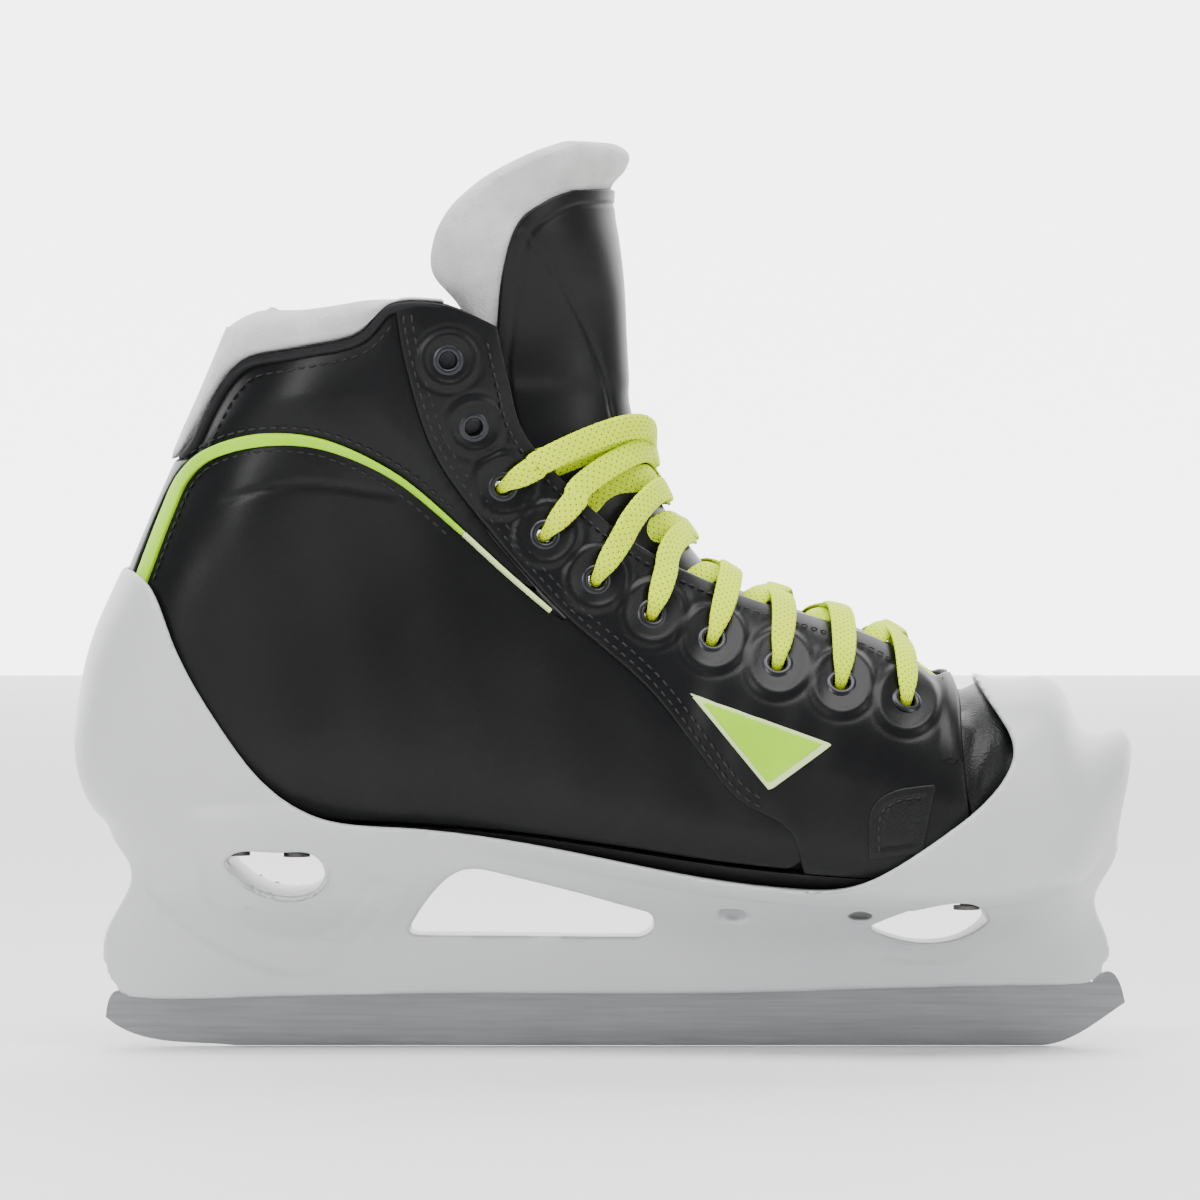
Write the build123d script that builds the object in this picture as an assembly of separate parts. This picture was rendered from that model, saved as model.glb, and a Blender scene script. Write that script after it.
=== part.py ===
"""A goalie's ice hockey skate for the right foot: boot, one-piece cowling, steel runner and lace.

Millimetres. +X points to the toe, +Z up, +Y to the inner side of the foot (so the outer side is -Y).
The origin is on the ice, under the middle of the skate's overall box.

The boot is one smooth form. Stations follow it from the toe, back round the heel and up the ankle.
Each station is a closed section between a point on the bottom (or back) line and one on the top (or
front) line. Every panel is a thin layer of that form, cut to its own outline as seen from the side.
"""

import math
import os

from build123d import *

os.makedirs("parts", exist_ok=True)

# ---- driving dimensions -------------------------------------------------------------------------
RUNNER_THICKNESS = 4.0
RUNNER_TANG_TOP = 25.0
COWLING_SKIN = 4.2          # outer face of the cowling, measured out from the boot's form
COWLING_GAP = 0.3           # between the boot's form and the cowling
SOLE_THICKNESS = 6.4
INSOLE_THICKNESS = 4.0
OVERLAY = (0.0, -1.3)       # layers are (outer face, inner face), measured out from the boot's form
PANEL = (-1.7, -3.8)
STIFFENER = (-4.2, -5.5)
LINING = (-5.9, -8.8)
TRIM_ON_PANEL = (-0.6, -1.4)
TRIM_ON_OVERLAY = (1.0, 0.25)
LACE_LAYER = (2.6, 0.6)
TONGUE_FACE = (-6.0, -7.6)
TONGUE_FELT = (-7.9, -14.0)
FELT_COLLAR = (2.5, -10.0)
EYELET_BORE = 2.5
EYELET_BARREL = 3.2
EYELET_FLANGE = 4.8
LACE_WIDTH = 7.6
BOLT_RADIUS = 3.0
RIVET_RADIUS = 2.0
REAR_BOLT_X = -71.0
FRONT_BOLT_X = 47.0
TONGUE_HINGE = (9.5, 183.0)
SIDE_GAP = 0.2              # half the gap where the left and right halves of a layer meet
DEPTH = 90.0                # half the depth of every cutting outline

STANDING = (Align.CENTER, Align.CENTER, Align.MIN)
HANGING = (Align.CENTER, Align.CENTER, Align.MAX)

# ---- the boot's form ----------------------------------------------------------------------------
# bottom or back point (x, z), top or front point (x, z), half width outside and inside,
# squareness at the back and at the front, rise of the widest point, share of an offset that goes
# along the foot instead of across it
STATIONS = [
    ((150.5, 60.0), (153.5, 80.0), 15.0, 19.0, 3.0, 2.4, 1.0, 0.95),
    ((143.0, 54.0), (147.4, 92.2), 28.0, 31.0, 3.4, 2.3, 1.05, 0.75),
    ((132.0, 50.2), (138.2, 101.0), 38.0, 39.0, 3.8, 2.3, 1.1, 0.5),
    ((115.0, 47.6), (126.0, 107.6), 45.5, 44.0, 4.2, 2.2, 1.15, 0.2),
    ((92.0, 47.0), (106.0, 112.0), 50.0, 46.5, 4.4, 2.1, 1.2, 0.0),
    ((65.0, 48.2), (84.0, 126.3), 49.5, 45.5, 4.4, 2.0, 1.2, 0.0),
    ((35.0, 51.0), (60.0, 133.8), 46.0, 42.0, 4.3, 2.0, 1.2, 0.0),
    ((0.0, 56.0), (36.0, 143.8), 40.5, 37.5, 4.2, 2.0, 1.15, 0.0),
    ((-35.0, 60.3), (20.5, 163.0), 38.0, 37.0, 4.0, 2.1, 1.1, 0.0),
    ((-75.0, 62.6), (15.0, 177.0), 38.5, 38.5, 3.8, 2.2, 1.05, 0.0),
    ((-112.0, 63.4), (14.5, 186.0), 38.0, 38.0, 3.4, 2.2, 1.0, 0.0),
    ((-138.0, 65.5), (14.2, 194.0), 37.0, 37.5, 3.1, 2.3, 1.0, 0.0),
    ((-152.0, 77.0), (13.6, 201.0), 37.0, 37.5, 3.0, 2.3, 1.0, 0.0),
    ((-156.0, 97.0), (13.0, 208.0), 38.0, 38.5, 2.9, 2.3, 1.0, 0.0),
    ((-152.5, 119.0), (12.3, 214.5), 39.5, 40.0, 2.8, 2.3, 1.0, 0.0),
    ((-144.5, 139.5), (11.7, 221.0), 41.0, 41.5, 2.7, 2.3, 1.0, 0.0),
    ((-136.0, 160.0), (11.0, 229.0), 42.0, 42.5, 2.6, 2.3, 1.0, 0.0),
    ((-127.0, 180.0), (10.0, 238.5), 42.5, 43.0, 2.6, 2.3, 1.0, 0.0),
    ((-117.0, 200.0), (8.7, 248.0), 43.0, 43.5, 2.6, 2.3, 1.0, 0.0),
    ((-108.0, 220.0), (7.3, 259.0), 43.5, 44.0, 2.6, 2.3, 1.0, 0.0),
    ((-98.0, 242.0), (5.0, 272.0), 44.0, 44.5, 2.6, 2.3, 1.0, 0.0),
]
# where a section's points lie, as shares of the half turn from the back to the front
HALF_TURN_SHARES = [0.0, 0.02, 0.08, 0.17, 0.3, 0.42, 0.54, 0.68, 0.84]
FORM_TOLERANCE = 0.05

# ---- side outlines (x, z) -----------------------------------------------------------------------
SOLE_LINE = [(170, 68), (150, 62), (132, 56.6), (115, 53.8), (92, 53), (65, 54.2), (35, 57), (0, 62),
             (-35, 66.3), (-75, 68.6), (-112, 69.4), (-138, 71), (-175, 74)]
COWLING_RIM = [(111.5, 113.4), (115.3, 104.9), (121.6, 91.2), (116.8, 80.8), (101.9, 67.6), (87, 57.5),
               (72.1, 50.7), (57.2, 50.1), (27.4, 53.6), (-2.4, 59.3), (-32.2, 64.7), (-62, 67.9),
               (-84.3, 70.6), (-99.2, 79.6), (-114.1, 98.3), (-129, 126), (-136.5, 141.5), (-146.6, 145.4)]
COWLING_HEEL = [(-146.6, 145.4), (-158.5, 114.1), (-160.3, 96.9), (-158.5, 83.4), (-152.3, 67.3),
                (-142, 53.6), (-149.2, 37.5), (-151.7, 28.6), (-149, 19.4), (-143.3, 13.7)]
COWLING_FOOT = [(-143.3, 13.7), (-92, 15.2), (-47, 16), (35, 16), (80, 17.3), (143.9, 18.2)]
COWLING_TOE = [(143.9, 18.2), (152, 22.9), (153.5, 28.6), (148.4, 44.4), (156.4, 60.5), (161, 74.2),
               (161.5, 86), (157, 97.5), (142.5, 109.5), (126, 113.6), (111.5, 113.4)]
THROAT = [(-31.5, 217.0), (-28, 200.3), (-22.4, 183.3), (-2.1, 161.5), (13.1, 150.2), (28, 142.4),
          (45.6, 135.0), (62.9, 130.2), (83.4, 123.0), (98.5, 112.5)]
COLLAR_TOP = [(-150, 178), (-124.9, 181), (-122.8, 190.1), (-115.9, 200.3), (-106.7, 207.4),
              (-91.8, 209.8), (-73.6, 214), (-63.5, 223.2), (-47.1, 223.5), (-31.5, 217.0)]
FELT_TOP = [(-150, 184), (-131, 186), (-128, 194.6), (-121, 206.5), (-109.1, 219), (-91.8, 220.5),
            (-76.9, 222.9), (-64.4, 224.2)]
FACING_SEAM = [(-61.7, 223), (-58.7, 205.9), (-51, 180.9), (-37.3, 160.3), (-12.8, 132.6), (14, 108.8),
               (37.8, 78.7), (56, 66), (60, 40)]
STRIPE_LINE = [(-139, 139), (-130.5, 161.5), (-124.9, 172.8), (-115.9, 179.7), (-99.8, 183.3),
               (-81.7, 181.5), (-61.1, 171.9), (-41.5, 155.5)]
STRIPE_WIDTH = 3.6
BACKSTAY = [(-165, 122), (-148, 122), (-143, 139), (-134.6, 161), (-130, 172), (-127.2, 177.5), (-165, 177.5)]
EMBLEM = [(25.3, 108.2), (67.9, 93.3), (49.2, 79.9)]
TOE_PATCH = [(78.5, 66.5), (79, 74.2), (85.8, 79.9), (98.3, 81.7), (94.5, 70.5)]
VAMP_X = 104.0
EYELETS = [(-45.9, 206.8), (-38.4, 187.1), (-29.8, 169.3), (-17.3, 155.0), (-2.1, 141.6), (14.6, 131.4),
           (32.5, 123.7), (51.9, 116.5), (70.6, 110.9), (90.0, 105.8)]
FIRST_LACED = 2
LACE_TURN = [(9.8, 183.3), (12.8, 170.5), (22.0, 158.0), (33.0, 146.5), (46.0, 139.5), (61.5, 133.5),
             (78.0, 128.5), (96.0, 119.5)]

# ---- sections and layers ------------------------------------------------------------------------


def unit(dx, dz):
    length = math.hypot(dx, dz)
    return dx / length, dz / length


def section_point(station, angle, offset):
    """A point of a station's closed section, offset outwards."""
    (bx, bz), (tx, tz), outer, inner, back, front, rise, lean = station
    ex, ez = unit(tx - bx, tz - bz)
    across = offset * math.sqrt(1.0 - lean * lean)
    along = offset * lean
    bx, bz = bx - ex * across + ez * along, bz - ez * across - ex * along
    tx, tz = tx + ex * across + ez * along, tz + ez * across - ex * along
    cos_a, sin_a = math.cos(angle), math.sin(angle)
    power = 2.0 / (back if cos_a > 0 else front)
    height = 0.5 * (1.0 - math.copysign(abs(cos_a) ** power, cos_a))
    height = height ** rise
    half = (outer if sin_a < 0 else inner) + across
    y = math.copysign(half * abs(sin_a) ** power, sin_a)
    return Vector(bx + (tx - bx) * height, y, bz + (tz - bz) * height)


def skinned(grid):
    """A solid whose side passes smoothly through rows of points, one row for each closed section."""
    skin = Face.make_surface_from_array_of_points(grid, tol=FORM_TOLERANCE, min_deg=3, max_deg=3)
    ends = [Face(Wire([rim])) for rim in skin.edges() if rim.is_closed]
    return Solid(Shell([skin] + ends))


def form(offset):
    """The boot's whole form as a solid, offset outwards."""
    shares = HALF_TURN_SHARES + [1.0] + [2.0 - share for share in reversed(HALF_TURN_SHARES[1:])] + [0.0]
    grid = []
    for station in STATIONS:
        grid.append([section_point(station, math.pi * share, offset) for share in shares])
    return skinned(grid)


FORMS = {}


def cached_form(offset):
    if offset not in FORMS:
        FORMS[offset] = form(offset)
    return FORMS[offset]


def outline(*runs):
    """A closed face in the side view. A run of two points is straight, a longer one is a spline."""
    edges = []
    for run in runs:
        points = [Vector(x, 0, z) for x, z in run]
        if len(points) == 2:
            edges.append(Edge.make_line(*points))
        else:
            edges.append(Edge.make_spline(points))
    return Face(Wire(edges))


def cutter(face, low=-DEPTH, high=DEPTH):
    """A side outline carried across the skate from low to high along Y."""
    return extrude(face.moved(Location((0, low, 0))), amount=high - low, dir=(0, 1, 0))


def polygon(*points):
    closed = list(points) + [points[0]]
    return outline(*[closed[k : k + 2] for k in range(len(points))])


def layer(faces, region):
    """What lies between two offsets of the form, inside a cutting region."""
    outside, inside = faces
    return (cached_form(outside) & region) - cached_form(inside)


def largest(shape):
    return max(shape.solids(), key=lambda s: s.volume)


def side_cut(face, side):
    """A cutting region on the outer (-1) or inner (+1) side of the skate."""
    if side < 0:
        return cutter(face, -DEPTH, -SIDE_GAP)
    return cutter(face, SIDE_GAP, DEPTH)


def band(line, width):
    """A strip of even width along a side line, as a face."""
    middle = Edge.make_spline([Vector(x, 0, z) for x, z in line])
    steps = 14
    upper, lower = [], []
    for k in range(steps + 1):
        at = middle @ (k / steps)
        along = middle % (k / steps)
        reach = width / 2.0
        upper.append((at.X - along.Z * reach, at.Z + along.X * reach))
        lower.append((at.X + along.Z * reach, at.Z - along.X * reach))
    lower.reverse()
    return outline(upper, [upper[-1], lower[0]], lower, [lower[-1], upper[0]])


def mixed_station(place):
    index = min(int(place), len(STATIONS) - 2)
    share = place - index
    a, b = STATIONS[index], STATIONS[index + 1]
    pairs = [tuple(p * (1 - share) + q * share for p, q in zip(a[k], b[k])) for k in (0, 1)]
    rest = [a[k] * (1 - share) + b[k] * share for k in range(2, 8)]
    return (*pairs, *rest)


def locate(x, z):
    """Station number and height along it of a point in the side view."""
    best = (1e9, 0.0, 0.0)
    steps = 40 * (len(STATIONS) - 1)
    for k in range(steps + 1):
        place = k / 40.0
        (bx, bz), (tx, tz) = mixed_station(place)[:2]
        ex, ez = unit(tx - bx, tz - bz)
        miss = abs((x - bx) * ez - (z - bz) * ex)
        if miss < best[0]:
            height = ((x - bx) * ex + (z - bz) * ez) / math.hypot(tx - bx, tz - bz)
            best = (miss, place, height)
    return best[1], best[2]


def half_width(x, z, side):
    """The form's half width where a side point lies, or 0 outside it."""
    place, height = locate(x, z)
    _, _, outer, inner, back, front, rise, _ = mixed_station(place)
    if not 0.0 < height < 1.0:
        return 0.0
    level = 2.0 * height ** (1.0 / rise) - 1.0
    power = back if level < 0 else front
    return (outer if side < 0 else inner) * (1.0 - abs(level) ** power) ** (1.0 / power)


def surface_frame(x, z, side):
    """A point on the form and the outward direction there."""
    step = 1.0
    y = half_width(x, z, side)
    slope_x = (half_width(x + step, z, side) - half_width(x - step, z, side)) / (2 * step)
    slope_z = (half_width(x, z + step, side) - half_width(x, z - step, side)) / (2 * step)
    return Vector(x, side * y, z), Vector(-slope_x, side, -slope_z).normalized()


# ---- runner, cowling and their fastenings -------------------------------------------------------


def runner():
    """The steel: ground flat in the middle, rockered at both tips, with a tang in the cowling."""
    blade = outline(
        [(-111, 0), (130, 0)],
        [(130, 0), (139, 4 / 3), (147, 5.4), (158, 13.0)],
        [(158, 13.0), (152.4, 22.4), (148, 19.0)],
        [(148, 19.0), (139, RUNNER_TANG_TOP)],
        [(139, RUNNER_TANG_TOP), (-138, RUNNER_TANG_TOP)],
        [(-138, RUNNER_TANG_TOP), (-143, 15.0)],
        [(-143, 15.0), (-146.6, 16.6), (-150.5, 8.6)],
        [(-150.5, 8.6), (-144, 4.4), (-129, 1.1), (-111, 0)],
    )
    half = RUNNER_THICKNESS / 2.0
    body = cutter(blade, -half, half)
    for x in (REAR_BOLT_X, FRONT_BOLT_X):
        body += Pos(x, 0, RUNNER_TANG_TOP + 2.5) * Box(14, RUNNER_THICKNESS, 5.0)
    return largest(body)


# height, back and front ends, then half widths at the heel, waist and forefoot
HOLDER_LEVELS = [
    (13.0, -146.0, 146.0, 6.5, 6.5, 6.5),
    (24.0, -152.0, 154.5, 7.5, 7.5, 7.5),
    (34.0, -151.0, 153.0, 11.5, 9.5, 13.0),
    (44.0, -148.0, 151.0, 22.0, 16.0, 30.0),
    (54.0, -146.0, 156.0, 31.0, 27.0, 45.0),
    (64.0, -148.5, 155.5, 36.0, 33.0, 47.0),
    (78.0, -154.5, 156.0, 33.0, 28.0, 42.0),
]


def level_outline(z, back, front, heel, waist, fore):
    """A level closed row of points round the holder, starting and ending at its back."""
    side = [(back + 1.5, heel * 0.3), (back + 14, heel * 0.72), (-105, heel), (-65, heel * 0.94), (-25, waist),
            (20, (waist + fore) / 2), (65, fore), (110, fore * 0.95), (front - 12, fore * 0.6),
            (front - 1.5, fore * 0.2)]
    inner = [Vector(x, y, z) for x, y in side]
    outer = [Vector(x, -y, z) for x, y in reversed(side)]
    end = Vector(back, 0, z)
    return [end] + inner + [Vector(front, 0, z)] + outer + [end]


def holder_block():
    return skinned([level_outline(*level) for level in HOLDER_LEVELS])


WINDOWS = [
    [
        [(-113.5, 57), (-110, 60), (-98, 60.3), (-86, 59.4), (-82.8, 54)],
        [(-82.8, 54), (-86.5, 48.4), (-95.6, 46.8), (-104.5, 49.4), (-113.5, 57)],
    ],
    [
        [(-59.6, 34.0), (11.0, 33.4)],
        [(11.0, 33.4), (15.2, 36.5), (14.2, 41.3)],
        [(14.2, 41.3), (-5, 46.8), (-30, 53.4), (-41.5, 54.8), (-51, 47.5), (-59.6, 34.0)],
    ],
    [
        [(79.2, 36.7), (86, 33.6), (109.0, 33.7), (115.8, 38.5)],
        [(115.8, 38.5), (112.5, 43.8), (94, 43.4), (79.2, 36.7)],
    ],
]


def cowling():
    """One moulding: a tray round the boot on a holder that narrows to the rail on the steel."""
    silhouette = cutter(outline(COWLING_RIM, COWLING_HEEL, COWLING_FOOT, COWLING_TOE))
    body = (cached_form(COWLING_SKIN) + holder_block()) & silhouette
    body -= cached_form(COWLING_GAP)
    for runs in WINDOWS:
        body -= cutter(outline(*runs))
    half = RUNNER_THICKNESS / 2.0 + 0.1
    body -= Pos(0, 0, RUNNER_TANG_TOP + 0.2) * Box(
        360.0, 2 * half, 30.0, align=HANGING
    )
    for x in (REAR_BOLT_X, FRONT_BOLT_X):
        body -= Pos(x, 0, RUNNER_TANG_TOP + 2.7) * Box(14.4, 2 * half, 5.4)
        body -= Pos(x, 0, 50.0) * Cylinder(BOLT_RADIUS + 0.15, 60.0)
    for x, y, z in rivet_places():
        body -= Pos(x, y, z) * Cylinder(RIVET_RADIUS + 0.1, 12.0)
        well = WELL_FLOOR[x] if x in WELL_FLOOR else z - RIVET_HEAD_DROP - 4.0
        depth = z - RIVET_HEAD_DROP - well
        body -= Pos(x, y, z - RIVET_HEAD_DROP) * Cylinder(RIVET_HEAD + 0.2, depth, align=HANGING)
        if x in WELL_FLOOR:
            body -= Pos(x, y * 2.0, well) * Box(5.0, abs(y) * 2.0, 2.6, align=STANDING)
    return largest(body)


def sole_height(x):
    """Height of the form's bottom line at x."""
    bottoms = sorted(s[0] for s in STATIONS[:12])
    for (x0, z0), (x1, z1) in zip(bottoms, bottoms[1:]):
        if x0 <= x <= x1:
            return z0 + (z1 - z0) * (x - x0) / (x1 - x0)
    return bottoms[0][1]


RIVET_X = {"rear": (-110.0, -92.0), "front": (39.0, 77.0, 109.0)}
RIVET_Y = {"rear": 15.0, "front": 20.0}
WELL_FLOOR = {39.0: 38.8, 77.0: 39.6}    # wells with a slot out through the side wall
RIVET_HEAD = 4.0
RIVET_HEAD_DROP = 3.6        # from the boot's bottom down to the underside of the cowling's floor


def rivet_places(end=None):
    ends = [end] if end else ["rear", "front"]
    return [(x, side * RIVET_Y[e], sole_height(x)) for e in ends for x in RIVET_X[e] for side in (-1, 1)]


def rivets(end):
    """Round-headed rivets through the cowling's floor and the outsole."""
    solids = []
    for x, y, z in rivet_places(end):
        low = z - RIVET_HEAD_DROP - 0.1
        high = z + SOLE_THICKNESS + 0.6
        shank = Pos(x, y, (low + high) / 2.0) * Cylinder(RIVET_RADIUS, high - low)
        head = Pos(x, y, low) * Cylinder(RIVET_HEAD, 1.2, align=HANGING)
        cap = Pos(x, y, high) * Cylinder(3.6, 0.8, align=STANDING)
        solids.append(largest(shank + head + cap))
    return Compound(children=solids)


def runner_bolt(x):
    """A stud standing on the steel's lug, up through the cowling and the outsole."""
    base = RUNNER_TANG_TOP + 5.0
    top = sole_height(x) + SOLE_THICKNESS + 4.4
    stud = Pos(x, 0, base) * Cylinder(BOLT_RADIUS, top - base, align=STANDING)
    return largest(stud)


def runner_nut(x):
    top = sole_height(x) + SOLE_THICKNESS + 1.6
    hexagon = extrude(Pos(x, 0, top) * RegularPolygon(5.6, 6), 2.8)
    return largest(hexagon - Pos(x, 0, top) * Cylinder(BOLT_RADIUS + 0.02, 10.0))


def runner_washer(x):
    top = sole_height(x) + SOLE_THICKNESS + 0.35
    ring = Pos(x, 0, top) * Cylinder(7.5, 1.2, align=STANDING)
    return largest(ring - Pos(x, 0, top) * Cylinder(BOLT_RADIUS + 0.2, 10.0))


# ---- boot ---------------------------------------------------------------------------------------


def raised(line, rise):
    return [(x, z + rise) for x, z in line]


def above_sole(rise):
    line = raised(SOLE_LINE, rise)
    return cutter(outline(line, [line[-1], (-175, 290)], [(-175, 290), (170, 290)], [(170, 290), line[0]]))


def below_sole(rise):
    line = raised(SOLE_LINE, rise)
    return cutter(outline(line, [line[-1], (-175, 20)], [(-175, 20), (170, 20)], [(170, 20), line[0]]))


def bore_soles(body):
    for x, y, z in rivet_places():
        body -= Pos(x, y, z) * Cylinder(RIVET_RADIUS + 0.1, 30.0)
    for x in (REAR_BOLT_X, FRONT_BOLT_X):
        body -= Pos(x, 0, 60.0) * Cylinder(BOLT_RADIUS + 0.15, 60.0)
    return body


def outsole():
    return largest(bore_soles(cached_form(0.0) & below_sole(-0.1)))


def insole():
    """The footbed, relieved underneath for the nuts and rivet caps."""
    bed = (cached_form(STIFFENER[1] - 0.5) & above_sole(0.5)) & below_sole(0.5 + INSOLE_THICKNESS)
    for x in (REAR_BOLT_X, FRONT_BOLT_X):
        bed -= Pos(x, 0, sole_height(x) + SOLE_THICKNESS) * Cylinder(8.5, 9.2)
    for x, y, z in rivet_places():
        bed -= Pos(x, y, z + SOLE_THICKNESS) * Cylinder(4.2, 4.0)
    return largest(bed)


def panel_region():
    """Everything behind the vamp seam, between the sole and the boot's top and throat edges."""
    top = COLLAR_TOP
    return outline(
        raised(SOLE_LINE[3:], 0.15),
        [(SOLE_LINE[-1][0], SOLE_LINE[-1][1] + 0.15), (-175, 178)],
        [(-175, 178), top[0]],
        top,
        THROAT,
        [THROAT[-1], (VAMP_X - 1.5, 100)],
        [(VAMP_X - 1.5, 100), (SOLE_LINE[3][0], SOLE_LINE[3][1] + 0.15)],
    )


def stripe_split():
    """The side outline below the line on which the quarter meets the collar panel."""
    return outline(
        [(-170, 136)] + [(-150, 137)] + STRIPE_LINE + [(-30, 148), (0, 128), (30, 100)],
        [(30, 100), (150, 100)],
        [(150, 100), (150, 20)],
        [(150, 20), (-170, 20)],
        [(-170, 20), (-170, 136)],
    )


def eyelet_bores(side):
    bores = []
    for x, z in EYELETS:
        place, out = surface_frame(x, z, side)
        bores.append(Solid.make_cylinder(EYELET_BARREL + 0.1, 16.0, Plane(place - out * 8.0, z_dir=out)))
    return bores


def pierced(body, bores):
    for bore in bores:
        body = body - bore
    return largest(body)


def boot_panels(side):
    """The quarter below the stripe, the collar panel above it and the facing that covers their front."""
    bores = eyelet_bores(side)
    whole = layer(PANEL, side_cut(panel_region(), side))
    lower = side_cut(stripe_split(), side)
    facing = layer(OVERLAY, side_cut(panel_region(), side)) & side_cut(facing_cover(), side)
    return pierced(whole & lower, bores), pierced(whole - lower, bores), pierced(facing, bores)


def vamp():
    """Soft toe leather ahead of the facings."""
    face = polygon((VAMP_X, 122), (VAMP_X, 100), (SOLE_LINE[3][0] + 1.5, 54.4), (175, 60), (175, 122))
    return largest(layer(PANEL, cutter(face) & above_sole(0.15)))


def toe_box():
    face = polygon((108, 122), (118, 54), (175, 60), (175, 122))
    return largest(layer(STIFFENER, cutter(face) & above_sole(0.15)))


def heel_counter():
    """The stiff cup round the heel, between the panels and the lining."""
    face = outline([(-175, 60), (-175, 120)], [(-175, 120), (-140, 128), (-110, 118), (-84, 92), (-74, 60)],
                   [(-74, 60), (-175, 60)])
    return largest(layer(STIFFENER, cutter(face) & above_sole(0.15)))


def ankle_pad(side):
    face = outline([(-108, 127), (-70, 124), (-48, 142), (-56, 166), (-86, 176), (-110, 156), (-108, 127)])
    return largest(layer(STIFFENER, side_cut(face, side)))


def lining(side):
    """The soft inner lining, from the toe to the ankle, behind the tongue."""
    face = outline(
        [(-175, 62), (-175, 186)],
        [(-175, 186), (-43, 186)],
        [(-43, 186), (-36, 168), (-18, 148), (0, 134), (22, 122), (50, 113), (80, 107), (92, 104)],
        [(92, 104), (138, 92)],
        [(138, 92), (141, 60)],
        [(141, 60), (-175, 62)],
    )
    return largest(layer(LINING, side_cut(face, side) & above_sole(1.0 + INSOLE_THICKNESS)))


def collar_felt():
    """Thick felt that lines the cuff and rolls over its back edge."""
    cuff = outline(
        raised(COLLAR_TOP, 0.6),
        [(COLLAR_TOP[-1][0], COLLAR_TOP[-1][1] + 0.6), (-20, 100)],
        [(-20, 100), (-180, 100)],
        [(-180, 100), (COLLAR_TOP[0][0], COLLAR_TOP[0][1] + 0.6)],
    )
    inside = outline(
        [(-150, 187.5), (-150, 230)],
        [(-150, 230), (-64, 230)],
        [(-64, 230), (-60, 208)],
        [(-60, 208), (-53, 187.5)],
        [(-53, 187.5), (-150, 187.5)],
    )
    below_top = outline(FELT_TOP, [FELT_TOP[-1], (-40, 224.2)], [(-40, 224.2), (-40, 100)],
                        [(-40, 100), (-150, 100)], [(-150, 100), FELT_TOP[0]])
    liner = cached_form(PANEL[1] - 0.5) & cutter(inside) & cutter(below_top)
    rolled = (cached_form(FELT_COLLAR[0]) & cutter(below_top)) - cutter(cuff)
    return largest((liner + rolled) - cached_form(FELT_COLLAR[1]))


def collar_binding(side):
    """A folded strip sewn over the collar's top edge."""
    line = [(x, z - 2.2) for x, z in COLLAR_TOP[1:-1]]
    return largest(layer(OVERLAY, side_cut(band(line, 3.6), side)) - side_cut(facing_cover(), side))


def facing_cover():
    return outline(FACING_SEAM, [FACING_SEAM[-1], (170, 40)], [(170, 40), (170, 240)],
                   [(170, 240), FACING_SEAM[0]])


def backstay():
    """The strip down the back seam, from the collar to inside the cowling."""
    face = polygon(*BACKSTAY)
    return largest(layer(OVERLAY, cutter(face)))


def stripe(side):
    lane = side_cut(band(STRIPE_LINE, STRIPE_WIDTH), side)
    keep_off = side_cut(facing_cover(), side)
    return largest(layer(TRIM_ON_PANEL, lane) - keep_off)


def emblem(side):
    return largest(layer(TRIM_ON_OVERLAY, side_cut(polygon(*EMBLEM), side)))


def toe_patch(side):
    face = outline(TOE_PATCH[:4], [TOE_PATCH[3], TOE_PATCH[4]], [TOE_PATCH[4], TOE_PATCH[0]])
    return largest(layer(TRIM_ON_OVERLAY, side_cut(face, side)))


def eyelets(side):
    """Ten metal eyelets: a flange outside, a barrel through the facing and a rolled ring inside."""
    solids = []
    for x, z in EYELETS:
        place, out = surface_frame(x, z, side)
        barrel = Solid.make_cylinder(EYELET_BARREL, 5.6, Plane(place - out * 4.3, z_dir=out))
        flange = Solid.make_cylinder(EYELET_FLANGE, 0.9, Plane(place + out * 1.1, z_dir=out))
        bore = Solid.make_cylinder(EYELET_BORE, 12.0, Plane(place - out * 6.0, z_dir=out))
        solids.append(largest((barrel + flange) - bore))
    return Compound(children=solids)


# ---- tongue -------------------------------------------------------------------------------------


def tongue_lower():
    """The fixed part of the tongue under the lace, in two layers: leather face and felt."""
    face = outline(
        [(120, 130), (30, 170)],
        [(30, 170), (30, TONGUE_HINGE[1] - 0.4)],
        [(30, TONGUE_HINGE[1] - 0.4), (-31, TONGUE_HINGE[1] - 0.4)],
        [(-31, TONGUE_HINGE[1] - 0.4), (-27, 168), (-11, 152), (4, 140), (24, 129), (52, 121), (80, 115.5), (98, 107)],
        [(98, 107), (120, 130)],
    )
    region = cutter(face)
    return largest(layer(TONGUE_FACE, region)), largest(layer(TONGUE_FELT, region))


TONGUE_LEVELS = [
    (183.0, 8.6, 44.0, 24.0),
    (200.0, 7.6, 46.0, 25.0),
    (216.0, 6.8, 48.0, 26.5),
    (228.0, 6.2, 50.0, 31.0),
    (240.0, 5.0, 50.0, 36.5),
    (255.0, 3.0, 50.0, 39.0),
    (273.0, 5.5, 54.0, 41.0),
]


def tongue_form(shrink):
    """Level ellipses with their fronts on the tongue's front line."""
    wires = []
    for z, front, depth, half in TONGUE_LEVELS:
        centre = front - depth
        ellipse = Edge.make_ellipse(depth - shrink, half - shrink, Plane((centre, 0, z)))
        wires.append(Wire([ellipse]))
    return Solid.make_loft(wires)


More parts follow.
